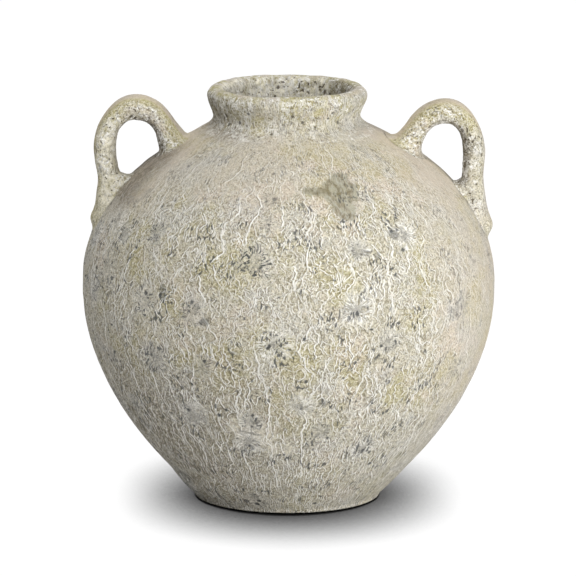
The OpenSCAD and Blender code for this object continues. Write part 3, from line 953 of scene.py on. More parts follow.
class JAR_OT_seam_coil(bpy.types.Operator):
    """Make the coil that is thumbed over the belly seam inside."""

    bl_idname = "jar.seam_coil"
    bl_label = "Seam coil"

    def execute(self, context):
        sizes = context.scene.jar_sizes
        lower, upper = body_curves(sizes)
        half = sizes.coil_h / 2
        back = sizes.wall_t + JOINT_GAP
        low = inset_line(lower, back, find_t(lower, sizes.belly_h - half), 1, COIL_STEP)
        high = inset_line(upper, back, 0, find_t(upper, sizes.belly_h + half), COIL_STEP)
        front_r = sizes.belly_r - back - sizes.coil_t
        bulge = [high[-1], np.array([front_r, high[-1][1]]), np.array([front_r, low[0][1]]), low[0]]
        face = even(bezier(bulge, np.linspace(0, 1, 60)), COIL_FACE_STEP)[1:-1]
        line = np.concatenate([low, high[1:], face])
        points = turned(line, COIL_TURNS)
        hidden = np.zeros(len(low) + len(high) - 1)
        free = np.concatenate([hidden, np.sin(np.linspace(0, np.pi, len(face)))])
        angle = 2 * np.pi * np.arange(COIL_TURNS) / COIL_TURNS
        dents = 0.5 + 0.5 * np.cos(THUMB_DENTS * angle + DENT_DRIFT * np.sin(DENT_DRIFTS * angle))
        rough = soft_noise(points.reshape(-1, 3), 7 * MM, 33).reshape(points.shape[:2])
        push = free[:, None] * (DENT_RISE * dents + COIL_ROUGHNESS * rough)
        points = points + unit(points * [1, 1, 0]) * push[:, :, None]
        make_piece("seam_coil_clay", "seam_coil", "inner_clay", points,
                   grid_faces(len(line), COIL_TURNS, True), raw_clay(context.scene.jar_colours))
        return {"FINISHED"}


class JAR_OT_collar(bpy.types.Operator):
    """Make the neck's collar, whose spigot sits in the shoulder's opening."""

    bl_idname = "jar.collar"
    bl_label = "Neck collar"

    def execute(self, context):
        sizes = context.scene.jar_sizes
        seat_z = sizes.jar_h - sizes.neck_h - sizes.rebate_h
        spigot_r = sizes.bore_r + sizes.spigot_t
        foot = np.array([[spigot_r, seat_z - sizes.spigot_h], [spigot_r, seat_z],
                         [sizes.shoulder_r - JOINT_GAP, seat_z]])
        skin = weathered_skin("weathered_neck", context.scene.jar_colours, limed=1.1, mossy=0.9)
        lathe_piece("neck_collar_skin", "neck_collar", "weathered_lip", sizes,
                    [("neck", "lip"), lip_key(sizes)[::-1], ("bore", "end"), foot], skin, crust=0.6)
        return {"FINISHED"}


class JAR_OT_lip(bpy.types.Operator):
    """Make the rolled lip, keyed on to the collar."""

    bl_idname = "jar.lip"
    bl_label = "Rolled lip"

    def execute(self, context):
        sizes = context.scene.jar_sizes
        skin = weathered_skin("weathered_lip", context.scene.jar_colours, limed=1.9, mossy=1.5)
        lathe_piece("rim_roll_skin", "rim_roll", "weathered_lip", sizes,
                    [("lip", "bore"), lip_key(sizes)], skin, crust=0.5)
        return {"FINISHED"}


# Thickness outside and inside a strap's core, and its width, as shares at its stations: 0 at the
# root, 1 at the crown, 2 at the reach, 3 where it lands on the wall and 4 above the tail's tip
OUTER_SHARES = [[0, 1.6], [0.45, 1.05], [1, 1.14], [1.6, 0.95], [2, 1], [3, 0.97], [4, 1]]
INNER_SHARES = [[0, 1.5], [0.5, 1.02], [1, 1.14], [1.6, 0.92], [2.3, 0.98], [2.55, 1], [2.95, 1.55],
                [4, 1.1]]
WEB_SHARES = [[2.63, 0], [2.85, 1], [3.2, 1], [3.6, 0]]
WIDTH_SHARES = [[0, 1.4], [0.45, 1.05], [1, 1], [2, 0.94], [3, 1.04], [3.6, 1.24], [4, 1.2]]
RISE_PULL_SHARE = 0.55
CROWN_PULL_SHARE = 0.6
REACH_PULL_SHARE = 0.5
LEG_PULL_SHARE = 0.45
TAIL_PULL_SHARE = 0.4
REACH_HEIGHT_SHARE = 0.5
LANDING_LEAN = math.radians(10)
SECTION_POWER = 0.85
TIP_END_SHARE = 0.94
STRAP_SIDES = 84
STRAP_STEP = 0.85 * MM
TIP_RINGS = 12
# How far a strap's end is sunk in the wall where it lies under its surface
SUNK_DEPTH = 0.35 * MM


def wall_point(profile, z):
    """Radius of the outer wall at a height."""
    return float(np.interp(z, profile[:, 1], profile[:, 0]))


def core_curves(sizes, straps, side, profile):
    """The four curves of a strap's core, in the plane of the handle, and the wall's way at its heel."""
    get = lambda key: getattr(straps, f"{side}_{key}")
    belly_h, strap_t = sizes.belly_h, straps.strap_t
    root_z = belly_h + get("root_rise")
    landing_z = belly_h + get("landing_rise")
    crown_z = belly_h + get("crown_rise") - strap_t / 2 * OUTER_SHARES[2][1]
    heel_z = belly_h + get("tail_rise") + strap_t / 2
    lean = get("root_lean")
    root = np.array([wall_point(profile, root_z), root_z]) - polar(straps.root_depth, lean)
    crown = np.array([sizes.belly_r - get("crown_in"), crown_z])
    reach = np.array([sizes.belly_r - get("reach_in") - strap_t / 2,
                      landing_z + REACH_HEIGHT_SHARE * (crown_z - landing_z)])
    landing = np.array([wall_point(profile, landing_z) + strap_t / 2, landing_z])
    heel = np.array([wall_point(profile, heel_z) + get("tail_t") - strap_t / 2, heel_z])
    _, upper = body_curves(sizes)
    heel_way = -bezier_way(upper, [find_t(upper, heel_z)])[0]
    down = polar(1, LANDING_LEAN - np.pi / 2)
    leg, tail = reach[1] - landing[1], landing[1] - heel[1]
    curves = [
        [root, root + polar(RISE_PULL_SHARE * (crown[1] - root[1]), lean),
         crown - [RISE_PULL_SHARE * (crown[0] - root[0]), 0], crown],
        [crown, crown + [CROWN_PULL_SHARE * (reach[0] - crown[0]), 0],
         reach + [0, REACH_PULL_SHARE * (crown[1] - reach[1])], reach],
        [reach, reach - [0, LEG_PULL_SHARE * leg], landing - LEG_PULL_SHARE * leg * down, landing],
        [landing, landing + TAIL_PULL_SHARE * tail * down, heel - TAIL_PULL_SHARE * tail * heel_way,
         heel]]
    return curves, heel_way


def strap_rings(sizes, straps, side, profile):
    """Rings of points along a strap, with the angle of each point round its ring, its depth and
    its place across the strap, and each ring's way along it and its station."""
    curves, heel_way = core_curves(sizes, straps, side, profile)
    centres, ways, stations = [], [], []
    for number, curve in enumerate(curves):
        fine = bezier(curve, np.linspace(0, 1, 100))
        count = max(4, round(run_lengths(fine)[-1] / STRAP_STEP))
        t = np.arange(count) / count
        centres.append(bezier(curve, t))
        ways.append(bezier_way(curve, t))
        stations.append(number + t)
    tip = np.linspace(0, np.pi / 2 * TIP_END_SHARE, TIP_RINGS)
    centres.append(curves[-1][3] + np.outer(np.sin(tip) * straps.strap_t / 2, heel_way))
    ways.append(np.repeat(heel_way[None], TIP_RINGS, axis=0))
    stations.append(np.full(TIP_RINGS, 4.0))
    centres, ways, stations = map(np.concatenate, (centres, ways, stations))
    shrink = np.ones(len(centres))
    shrink[-TIP_RINGS:] = np.cos(tip)
    outer = eased(OUTER_SHARES, stations) * straps.strap_t / 2 * shrink
    inner = eased(INNER_SHARES, stations) * straps.strap_t / 2
    inner = (inner + getattr(straps, f"{side}_web") * eased(WEB_SHARES, stations)) * shrink
    width = eased(WIDTH_SHARES, stations) * straps.strap_w * shrink
    angle = 2 * np.pi * np.arange(STRAP_SIDES) / STRAP_SIDES
    squared = lambda v: np.sign(v) * np.abs(v) ** SECTION_POWER
    depth = squared(np.cos(angle)) * np.where(np.cos(angle) > 0, outer[:, None], inner[:, None])
    across = squared(np.sin(angle)) * width[:, None] / 2
    normal = np.stack([-ways[:, 1], ways[:, 0]], 1)
    flat = centres[:, None] + depth[:, :, None] * normal[:, None]
    points = np.stack([flat[:, :, 0], across, flat[:, :, 1]], 2)
    return SimpleNamespace(points=points, angle=angle, depth=depth, across=across,
                           along=run_lengths(centres), stations=stations)


# Points that are measured against the wall at a time
WALL_BATCH = 4000


def wall_foot(points, profile):
    """For each point, the nearest point of the outer wall, the wall's normal there, and the
    distance out of the wall."""
    radius = axis_gap(points)
    normals = way_normals(profile)
    spot = np.stack([radius, points[:, 2]], 1)
    nearest = np.zeros(len(points), int)
    for start in range(0, len(points), WALL_BATCH):
        part = spot[start:start + WALL_BATCH]
        gap = np.linalg.norm(part[:, None] - profile[None], axis=2)
        nearest[start:start + WALL_BATCH] = gap.argmin(axis=1)
    foot, normal = profile[nearest], normals[nearest]
    distance = np.sum((spot - foot) * normal, axis=1)
    foot = spot - normal * distance[:, None]
    out = points * [1, 1, 0] / radius[:, None]
    foot_3d = out * foot[:, :1] + UP * foot[:, 1:]
    normal_3d = out * normal[:, :1] + UP * normal[:, 1:]
    return foot_3d, normal_3d, distance


def seated_strap(sizes, straps, side):
    """A strap whose ends flow on to the wall in a fillet, with the wall's nearest points, its
    normals and its distance."""
    profile = wall_profile(sizes)
    strap = strap_rings(sizes, straps, side, profile)
    reach = getattr(straps, f"{side}_fillet")
    face = -grid_normals(strap.points).reshape(-1, 3)
    flat = strap.points.reshape(-1, 3)
    foot, normal, distance = wall_foot(flat, profile)
    sideways = unit(face - normal * np.sum(face * normal, axis=1, keepdims=True))
    share_in = np.clip(distance / reach, -1, 1)
    skirt = reach * (1 - share_in) ** 2 / 4 * smooth(-2, -1, distance / reach)
    rise = reach * (1 + share_in) ** 2 / 4 - SUNK_DEPTH * smooth(-1, -1.6, distance / reach)
    seated = foot + normal * rise[:, None] + sideways * skirt[:, None]
    strap.points = np.where((distance < reach)[:, None], seated, flat).reshape(strap.points.shape)
    strap.foot, strap.normal, strap.distance = foot, normal, distance
    return strap


HANDLE_PITS = 70
# What sets the two handles apart: side along X, seed, moss on the strap and on its tail, and lime
# wash on the leg
HANDLES = {
    "left": SimpleNamespace(sign=-1, seed=41, moss=1.05, tail_moss=0.7, milk=0.75),
    "right": SimpleNamespace(sign=1, seed=47, moss=0.55, tail_moss=0.3, milk=0.05),
}
# Stations over which a strap turns into its leg, and the leg into its tail
LEG_STATIONS = (1.2, 1.8)
TAIL_STATIONS = (3.1, 3.7)
# How far from the wall its unevenness still moves a strap, between what distances the strap's own
# lumps and pits set in, and the depth at which a pit of theirs is wholly dark
WALL_TOUCH = 12 * MM
STRAP_CLEAR = (0.5 * MM, 6 * MM)
DARK_STRAP_PIT = 1.1 * MM


def handle_pits(points, crusty, seed):
    """Pits on the rough faces of a strap."""
    rng = np.random.default_rng(seed)
    spots = np.flatnonzero(crusty > 0.5)
    return drawn_pits(rng, points[rng.choice(spots, HANDLE_PITS)], (1.0, 2.3), (0.35, 0.9))


def strap_values(strap, flat, facing, hand):
    """Values for the finish of a strap, by the face that a point is on: turn is 1 outside and -1 in the
    loop. Its inside value is painted shade on the faces in the loop, deepest on those that face left, away
    from the light on the right."""
    rings, sides = strap.points.shape[:2]
    turn = np.tile(np.cos(strap.angle), rings)
    leg = np.repeat(smooth(*LEG_STATIONS, strap.stations), sides)
    tail = np.repeat(smooth(*TAIL_STATIONS, strap.stations), sides) * smooth(-0.4, 0.1, turn)
    outside = turn - 0.3 * leg
    crust = smooth(0.55, 0.1, outside + 0.2 * soft_noise(flat, 7 * MM, hand.seed)) * (1 - 0.8 * tail)
    band = smooth(0.9, 0.7, turn) * smooth(-0.1, 0.4, turn) * (1 - 0.6 * leg)
    band *= hand.moss + 0.4 * soft_noise(flat, 9 * MM, hand.seed + 6)
    # Painted shade: how far a face looks left, away from the light on the right
    shade = smooth(0.1, -0.7, facing[:, 0])
    inner_face = turn + 0.1 * soft_noise(flat, 5 * MM, hand.seed + 5) - 0.25 * shade
    return {
        "crust": crust,
        "moss": np.maximum(band, hand.tail_moss * tail),
        # Painted shade on the faces in the loop
        "inside": smooth(-0.25, -0.85, inner_face) * (0.45 + 0.55 * shade),
        "calm": smooth(0.45, 0.85, outside),
        "milky": hand.milk * leg * crust,
        "course": np.stack([strap.across.ravel(), strap.depth.ravel(),
                            np.repeat(strap.along, sides) + 0.3 * hand.seed], 1),
        "fan": np.full(flat.shape, NO_FAN),
        "tones": np.zeros(flat.shape),
        "worn": np.zeros(len(flat)),
        "stain": np.zeros(len(flat)),
    }


class JAR_OT_handles(bpy.types.Operator):
    """Make the two pulled straps, rooted and thumbed down on the wall."""

    bl_idname = "jar.handles"
    bl_label = "Handles"

    def execute(self, context):
        skin = weathered_skin("weathered_handle", context.scene.jar_colours, veined=0.4, limed=1.15,
                              mossy=1.3)
        for side, hand in HANDLES.items():
            self.handle(context.scene.jar_sizes, context.scene.jar_straps, side, hand, skin)
        return {"FINISHED"}

    def handle(self, sizes, straps, side, hand, skin):
        """Makes one strap, with lumps and pits where it is clear of the wall."""
        strap = seated_strap(sizes, straps, side)
        mirror = np.array([hand.sign, 1, 1])
        facing = -grid_normals(strap.points).reshape(-1, 3) * mirror
        wall_height, _ = weather(strap.foot * mirror, sizes)
        touch = smooth(WALL_TOUCH, 0, strap.distance)
        flat = strap.points.reshape(-1, 3) * mirror
        flat = flat + strap.normal * mirror * (wall_height * touch)[:, None]
        values = strap_values(strap, flat, facing, hand)
        crusty = values["crust"]
        lumps = layers(flat, ((0.4, 16, hand.seed + 1), (0.12 + 0.2 * crusty, 5, hand.seed + 2),
                              (0.03 + 0.22 * crusty, 2.2, hand.seed + 3)))
        hollow = pits(flat, *handle_pits(flat, crusty, hand.seed))
        clear = smooth(*STRAP_CLEAR, strap.distance)
        flat = flat + facing * ((lumps * MM - hollow) * clear)[:, None]
        faces = grid_faces(len(strap.points), STRAP_SIDES, False).tolist()
        faces.append(list(range(STRAP_SIDES))[::-1])
        faces.append(list(range(len(flat) - STRAP_SIDES, len(flat))))
        if hand.sign > 0:
            faces = [face[::-1] for face in faces]
        make_piece(f"{side}_handle_skin", f"{side}_handle", "weathered_handle", flat, faces, skin,
                   pit=hollow * clear / DARK_STRAP_PIT, **values)


class Nodes:
    """Short calls for building a material or a world out of nodes."""

    def __init__(self, owner):
        self.owner = owner
        owner.use_nodes = True
        self.tree = owner.node_tree
        self.tree.nodes.clear()

    def put(self, socket, value):
        """Links a socket, or sets a plain value, where a colour has three parts."""
        if isinstance(value, bpy.types.NodeSocket):
            self.tree.links.new(value, socket)
        elif value is not None:
            socket.default_value = (*value, 1.0) if socket.type == "RGBA" else value

    def node(self, kind, inputs=(), **settings):
        """A node with its settings and its inputs by name or number."""
        made = self.tree.nodes.new(kind)
        for key, value in settings.items():
            setattr(made, key, value)
        for key, value in dict(inputs).items():
            self.put(made.inputs[key], value)
        return made

    def math(self, operation, a, b=None, c=None, clamp=False):
        """A Math node's result."""
        return self.node("ShaderNodeMath", {0: a, 1: b, 2: c}, operation=operation,
                         use_clamp=clamp).outputs[0]

    def times(self, first, *others):
        """The product of several numbers."""
        for other in others:
            first = self.math("MULTIPLY", first, other)
        return first

    def most(self, first, *others):
        """The largest of several numbers."""
        for other in others:
            first = self.math("MAXIMUM", first, other)
        return first

    def less(self, value, share):
        """1 less a share of a value."""
        return self.math("MULTIPLY_ADD", value, -share, 1.0)

    def vector(self, operation, a, b=None, scale=None):
        """A Vector Math node's result."""
        made = self.node("ShaderNodeVectorMath", {0: a, 1: b, 3: scale}, operation=operation)
        return made.outputs[1 if operation == "LENGTH" else 0]

    def moved(self, place, push, reach):
        """A place moved by a share of a push."""
        return self.vector("ADD", place, self.vector("SCALE", push, scale=reach))

    def push(self, place, scale, detail, rough):
        """A push that wanders with the place, up to half a metre each way, to be scaled down."""
        return self.vector("SUBTRACT", self.noise(place, scale, detail, rough, 1), (0.5, 0.5, 0.5))

    def parts(self, vector):
        """The three parts of a vector."""
        return self.node("ShaderNodeSeparateXYZ", {0: vector}).outputs

    def joined(self, x, y, z):
        """A vector of three parts."""
        return self.node("ShaderNodeCombineXYZ", {0: x, 1: y, 2: z}).outputs[0]

    def ramp(self, value, low, high, floor=0.0, ceiling=1.0):
        """Eases a value from floor to ceiling as it goes from low to high."""
        made = self.node("ShaderNodeMapRange", {0: value, 1: low, 2: high, 3: floor, 4: ceiling},
                         interpolation_type="SMOOTHSTEP")
        return made.outputs[0]

    def noise(self, place, scale, detail=1.0, rough=0.5, output=0):
        """Noise with features of about one part in scale of a metre."""
        made = self.node("ShaderNodeTexNoise", {"Vector": place, "Scale": scale, "Detail": detail,
                                                "Roughness": rough})
        return made.outputs[output]

    def value(self, name, output="Fac"):
        """A value that the mesh carries."""
        return self.node("ShaderNodeAttribute", attribute_name=name).outputs[output]

    def mix(self, share, first, second):
        """Mixes two colours."""
        return self.node("ShaderNodeMix", {0: share, 6: first, 7: second}, data_type="RGBA").outputs[2]

    def blend(self, share, first, second):
        """Mixes two numbers."""
        return self.node("ShaderNodeMix", {0: share, 2: first, 3: second}, data_type="FLOAT").outputs[0]

    def clay(self, skin, relief, strength, depth, roughness):
        """Ends a clay material in its shader, with its relief as a bump."""
        bump = self.node("ShaderNodeBump", {"Height": relief, "Strength": strength, "Distance": depth})
        shader = self.node("ShaderNodeBsdfPrincipled", {
            "Base Color": skin, "Normal": bump.outputs[0], "Roughness": roughness,
            "Specular IOR Level": 0.25})
        self.node("ShaderNodeOutputMaterial", {"Surface": shader.outputs[0]})
        return self.owner


# Depth of the relief and roughness of the weathered skin and of the raw clay
SKIN_DEPTH, SKIN_ROUGHNESS = 0.7 * MM, 0.9
RAW_DEPTH, RAW_ROUGHNESS = 0.6 * MM, 0.92
# How far apart the noise is read to find how steep it is
NEAR = 0.25 * MM
# The noise scale and the width in millimetres of each size of lime thread
VEIN = (42, 0.62)
THREAD = (118, 0.52)
HAIR = (270, 0.44)
# Width of the white rays in a fan's own noise, the radius of the circle in which that noise is
# read, and how far it is read from the next fan's
RAY_WIDTH = 0.13
FAN_ROUND = 3.4
FAN_APART = 7.3
# How far the streaks wander near the ground and higher up, how far they shiver, and how their
# pattern is drawn out along the wall
SWIRL_LOW = 9 * MM
SWIRL_HIGH = 18 * MM
SHIVER = 1.5 * MM
LENGTHEN = (1.0, 1.0, 0.6)
# How far the straight streaks wander, and how their pattern is drawn out
STRAIGHT_WANDER = 7 * MM
LENGTHEN_MORE = (1.0, 1.0, 0.42)
# The noise that pushes the streaks about, by scale, detail and roughness, and the one for shivers
WANDER = (62, 2.0, 0.55)
TREMBLE = (330, 1.0, 0.5)
# The other noises of the skin: scale, detail and roughness, then the two values between which each
# eases from 0 to 1, or between two limits that follow. A fan has petals in some sectors, with breaks
# in them, and dashes lie in clusters
FIELDS = {
    "petals": (2.9, 0.0, 0.5, 0.52, 0.6),
    "sectors": (0.3, 0.0, 0.5, 0.36, 0.44),
    "breaks": (170, 1.0, 0.5, 0.42, 0.5),
    "clusters": (60, 1.5, 0.5, 0.53, 0.62, 0.1, 0.9),
    "dashes": (760, 0.0, 0.5, 0.585, 0.66),
    "crust_lumps": (300, 3.0, 0.65, 0.47, 0.55),
    "crust_patches": (70, 3.0, 0.62, 0.42, 0.56, 0.12, 1.0),
    "crust_gaps": (800, 1.0, 0.5, 0.56, 0.4, 0.35, 1.0),
    "mottle": (230, 3.0, 0.65, 0.4, 0.58, 0.25, 1.0),
    "soil_and_shade_mottle": (240, 3.0, 0.6, 0.6, 0.42, 0.65, 0.95),
    "holes": (430, 1.0, 0.5, 0.65, 0.71),
    "bare": (300, 3.0, 0.6, 0.42, 0.62),
}
# Heights between which the low part of the wall sets in, the streaks wander more, the slip turns grey, and
# the painted shade sets in, low on the left and along the left edge
LOW_HEIGHTS = (150 * MM, 60 * MM)
SWIRL_HEIGHTS = (20 * MM, 190 * MM)
GREY_HEIGHTS = (120 * MM, 50 * MM)
LEFT_SHADE_HEIGHTS = (170 * MM, 50 * MM)
EDGE_SHADE_HEIGHTS = (215 * MM, 200 * MM)
# Places along X between which the painted shade sets in on the left, the darkening towards the bottom at
# the front, and the painted shade along the left edge
LEFT_SHADE_SPAN = (40 * MM, -120 * MM)
FRONT_DARKENING_SPAN = (60 * MM, -40 * MM)
EDGE_SHADE_SPAN = (-80 * MM, -140 * MM)
# How strongly each layer of the skin shows, the first being the painted shadow beside the threads, and how
# high it stands in the relief
SHADOW_SIDES_SHOWN, WORN_SHOWN, HOLES_SHOWN, DARK_SHOWN, STAINS_SHOWN = 0.85, 0.78, 0.9, 0.9, 0.5
SIDES_RISE, LINES_RISE, DARK_RISE, CRUST_RISE, PATCHY_RISE, BLOBS_RISE = -0.3, 0.45, -0.7, 0.6, 1.5, 1.0


class SkinNodes(Nodes):
    """The weathered skin's nodes, with the places and the values that its layers share."""

    def __init__(self, name, colours):
        super().__init__(bpy.data.materials.new(name))
        self.colours = colours
        self.place = self.node("ShaderNodeTexCoord").outputs["Object"]
        self.side, _, self.rise = self.parts(self.place)
        self.low = self.ramp(self.rise, *LOW_HEIGHTS)
        self.course = self.value("course", "Vector")
        self.fan = self.parts(self.value("fan", "Vector"))
        self.dark_tone, self.white_tone, _ = self.parts(self.value("tones", "Vector"))
        self.crust, self.moss = self.value("crust"), self.value("moss")
        # The inside value carries soil, and painted shade on faces in shadow
        self.inside, self.calm = self.value("inside"), self.value("calm")
        self.awake = self.less(self.calm, 0.75)
        self.patchy = self.noise(self.place, 30, 3.0, 0.6)
        self.wander = self.push(self.place, *WANDER)
        straight = self.moved(self.course, self.wander, STRAIGHT_WANDER)
        self.straight = self.vector("MULTIPLY", straight, LENGTHEN_MORE)
        # Round a fan the streaks run out from its middle
        spoke = self.moved(self.joined(self.fan[0], self.fan[1], 0.0), self.wander, 0.8)
        self.far = self.vector("LENGTH", spoke)
        outward = self.math("MULTIPLY_ADD", self.far, 1.5, self.times(self.fan[2], FAN_APART))
        outward = self.joined(0.0, 0.0, outward)
        self.fan_place = self.moved(outward, self.vector("NORMALIZE", spoke), FAN_ROUND)
        self.in_fan = self.ramp(self.far, 0.95, 0.55)

    def field(self, name, place=None, shift=None):
        """One of the skin's noises, at its place or another one, which may be shifted so that the
        noise is unlike the others."""
        scale, detail, rough, *limits = FIELDS[name]
        spot = self.place if place is None else place
        if shift:
            spot = self.vector("ADD", spot, shift)
        return self.ramp(self.noise(spot, scale, detail, rough), *limits)

    def streams(self):
        """The place in the streaks' wandering pattern, and the places a little across and above."""
        swirl = self.ramp(self.rise, *SWIRL_HEIGHTS, SWIRL_LOW, SWIRL_HIGH)
        across = self.vector("NORMALIZE", self.vector("CROSS_PRODUCT", (0.0, 0.0, 1.0), self.course))
        made = []
        for step in (None, self.vector("SCALE", across, scale=NEAR), (0.0, 0.0, NEAR)):
            spot = self.place if step is None else self.vector("ADD", self.place, step)
            stream = self.course if step is None else self.vector("ADD", self.course, step)
            stream = self.moved(stream, self.push(spot, *WANDER), swirl)
            stream = self.moved(stream, self.push(spot, *TREMBLE), SHIVER)
            made.append(self.vector("MULTIPLY", stream, LENGTHEN))
        return made

    def thread(self, places, scale, width):
        """Even threads of lime, a width in millimetres, where noise passes its middle, and a painted
        shadow along one side of each, the left side on the front, away from the light on the right. A
        thread fades out where the noise is flat, and mostly where it runs across."""
        here, beside, above = [self.noise(place, scale) for place in places]
        sideways = self.math("SUBTRACT", beside, here)
        upward = self.math("SUBTRACT", above, here)
        slope = self.math("SQRT", self.math("ADD", self.times(sideways, sideways),
                                            self.times(upward, upward)))
        gap = self.times(self.math("SUBTRACT", 0.5, here), self.math("SIGN", sideways))
        gap = self.times(self.math("DIVIDE", gap, slope), NEAR / (width * MM))
        lying = self.math("DIVIDE", self.math("ABSOLUTE", sideways), slope)
        steep = self.times(self.ramp(slope, 0.23 * scale * NEAR, 0.57 * scale * NEAR),
                           self.ramp(lying, 0.2, 0.5, 0.3))
        ridge = self.times(self.ramp(self.math("ABSOLUTE", gap), 0.5, 1.05, 1.0, 0.0), steep)
        # Painted shadow: a dark band along one side of the thread
        side = self.times(self.ramp(gap, 0.6, 1.2), self.ramp(gap, 3.0, 1.4), steep)
        return ridge, side

    def rays(self):
        """White rays in the fans, and a painted shadow along one side of each, for an embossed look."""
        past = self.math("SUBTRACT", self.noise(self.fan_place, 2.5), 0.5)
        ridge = self.ramp(self.math("ABSOLUTE", past), 0.0, RAY_WIDTH, 1.0, 0.0)
        # Painted shadow: a dark band along one side of each ray
        side = self.math("ABSOLUTE", self.math("ADD", past, 1.7 * RAY_WIDTH))
        return (self.times(ridge, self.in_fan, self.white_tone),
                self.times(self.ramp(side, 0.0, 1.6 * RAY_WIDTH, 1.0, 0.0), self.in_fan, 0.5))

    def lime_lines(self, veined):
        """Lime along the creases, in threads of three sizes and in rays, and the painted shadows beside
        them.
        """
        places = self.streams()
        long_places = [self.vector("MULTIPLY", spot, LENGTHEN) for spot in places]
        other_places = [self.vector("ADD", spot, (0.3, 0.1, 0.6)) for spot in places]
        veins, vein_shadows = self.thread(long_places, *VEIN)
        threads, thread_shadows = self.thread(places, *THREAD)
        hairs, hair_shadows = self.thread(other_places, *HAIR)
        rays, ray_shadows = self.rays()
        in_slip = self.less(self.in_fan, 0.65)
        fine_amount = self.times(self.ramp(self.patchy, 0.36, 0.56, 0.75, 1.0), in_slip)
        vein_amount = self.times(self.ramp(self.patchy, 0.58, 0.42, 0.45, 0.95), in_slip)
        thread_amount = self.most(self.ramp(self.patchy, 0.4, 0.58, 0.35, 0.9), self.times(self.low, 0.85))
        hairs = self.times(hairs, self.math("MULTIPLY_ADD", self.low, 0.15, 0.85))
        fine = self.most(hairs, self.times(threads, thread_amount))
        lines = self.most(self.times(fine, fine_amount), self.times(veins, vein_amount), rays)
        fine_shadows = self.most(hair_shadows, self.times(thread_shadows, thread_amount))
        sides = self.most(self.times(fine_shadows, in_slip), self.times(vein_shadows, vein_amount), ray_shadows)
        return self.times(lines, veined, self.awake), self.times(sides, veined, self.awake)

    def dark_marks(self):
        """Dark petals in the fans, short dashes in clusters elsewhere, and the pits."""
        petals = self.field("petals", self.fan_place, (5.1, 2.3, 0.7))
        sectors = self.field("sectors", self.fan_place, (1.7, 8.1, 3.3))
        ring = self.times(self.ramp(self.far, 0.15, 0.32), self.ramp(self.far, 0.85, 0.6))
        petals = self.times(petals, self.field("breaks"), ring, sectors, self.dark_tone)
        dashes = self.field("dashes", self.straight)
        dashes = self.times(dashes, self.less(self.crust, 0.6), self.field("clusters"))
        pitted = self.ramp(self.value("pit"), 0.35, 0.8, 0.0, 0.95)
        return self.times(self.most(petals, dashes, pitted), self.math("MINIMUM", self.awake, 1.0))

    def painted_shade_and_low_tint(self):
        """Painted shade low on the left and a little along the left edge, where the light falls off, and
        at the front a thinner darkening towards the bottom, deeper towards the left.
        """
        left = self.times(self.ramp(self.side, *LEFT_SHADE_SPAN), self.ramp(self.rise, *LEFT_SHADE_HEIGHTS))
        front = self.times(self.low, self.ramp(self.side, *FRONT_DARKENING_SPAN, 0.05, 0.3))
        edge = self.times(self.ramp(self.side, *EDGE_SHADE_SPAN, 0.0, 0.14),
                          self.ramp(self.rise, *EDGE_SHADE_HEIGHTS))
        return self.most(left, front, edge)

    def slip(self, mossy, blobs):
        """The slip, with its tints, its painted shade and darkening low down, and its grain."""
        tones = self.colours
        tints = self.parts(self.noise(self.place, 24, 4.0, 0.62, 1))
        base = self.mix(self.times(self.ramp(tints[0], 0.47, 0.6), mossy), tones.clay, tones.olive)
        rosy = self.most(self.times(self.calm, 0.65), self.ramp(tints[1], 0.5, 0.66, 0.0, 0.8))
        base = self.mix(rosy, base, tones.rose)
        base = self.mix(self.moss, base, tones.olive)
        cool = self.times(self.ramp(tints[2], 0.46, 0.64, 0.0, 0.8), self.awake, self.less(self.moss, 0.8))
        low_grey = self.ramp(self.rise, *GREY_HEIGHTS, 0.0, 0.4)
        base = self.mix(self.most(cool, low_grey), base, tones.grey)
        # Painted shade in mauve low on the left and along the left edge, with a darkening towards the
        # bottom at the front
        base = self.mix(self.painted_shade_and_low_tint(), base, tones.mauve)
        grain = self.noise(self.place, 1000)
        for field, dark, dark_most, pale, pale_most in ((blobs, 0.32, 0.6, 0.66, 0.75),
                                                        (grain, 0.3, 0.7, 0.7, 0.65)):
            umber = self.times(self.ramp(field, 0.5, dark, 0.0, dark_most), self.awake)
            cream = self.times(self.ramp(field, 0.5, pale, 0.0, pale_most), self.awake)
            base = self.mix(cream, self.mix(umber, base, tones.umber), tones.cream)
        return base

    def lime_crust(self, limed):
        """Lime crust, in small lumps with holes between them, a little thinner where the inside value lays
        soil and painted shade.
        """
        amount = self.math("MULTIPLY", self.crust, limed, clamp=True)
        return self.times(self.field("crust_lumps"), self.field("crust_patches"), amount,
                          self.field("crust_gaps"), self.less(self.inside, 0.2))


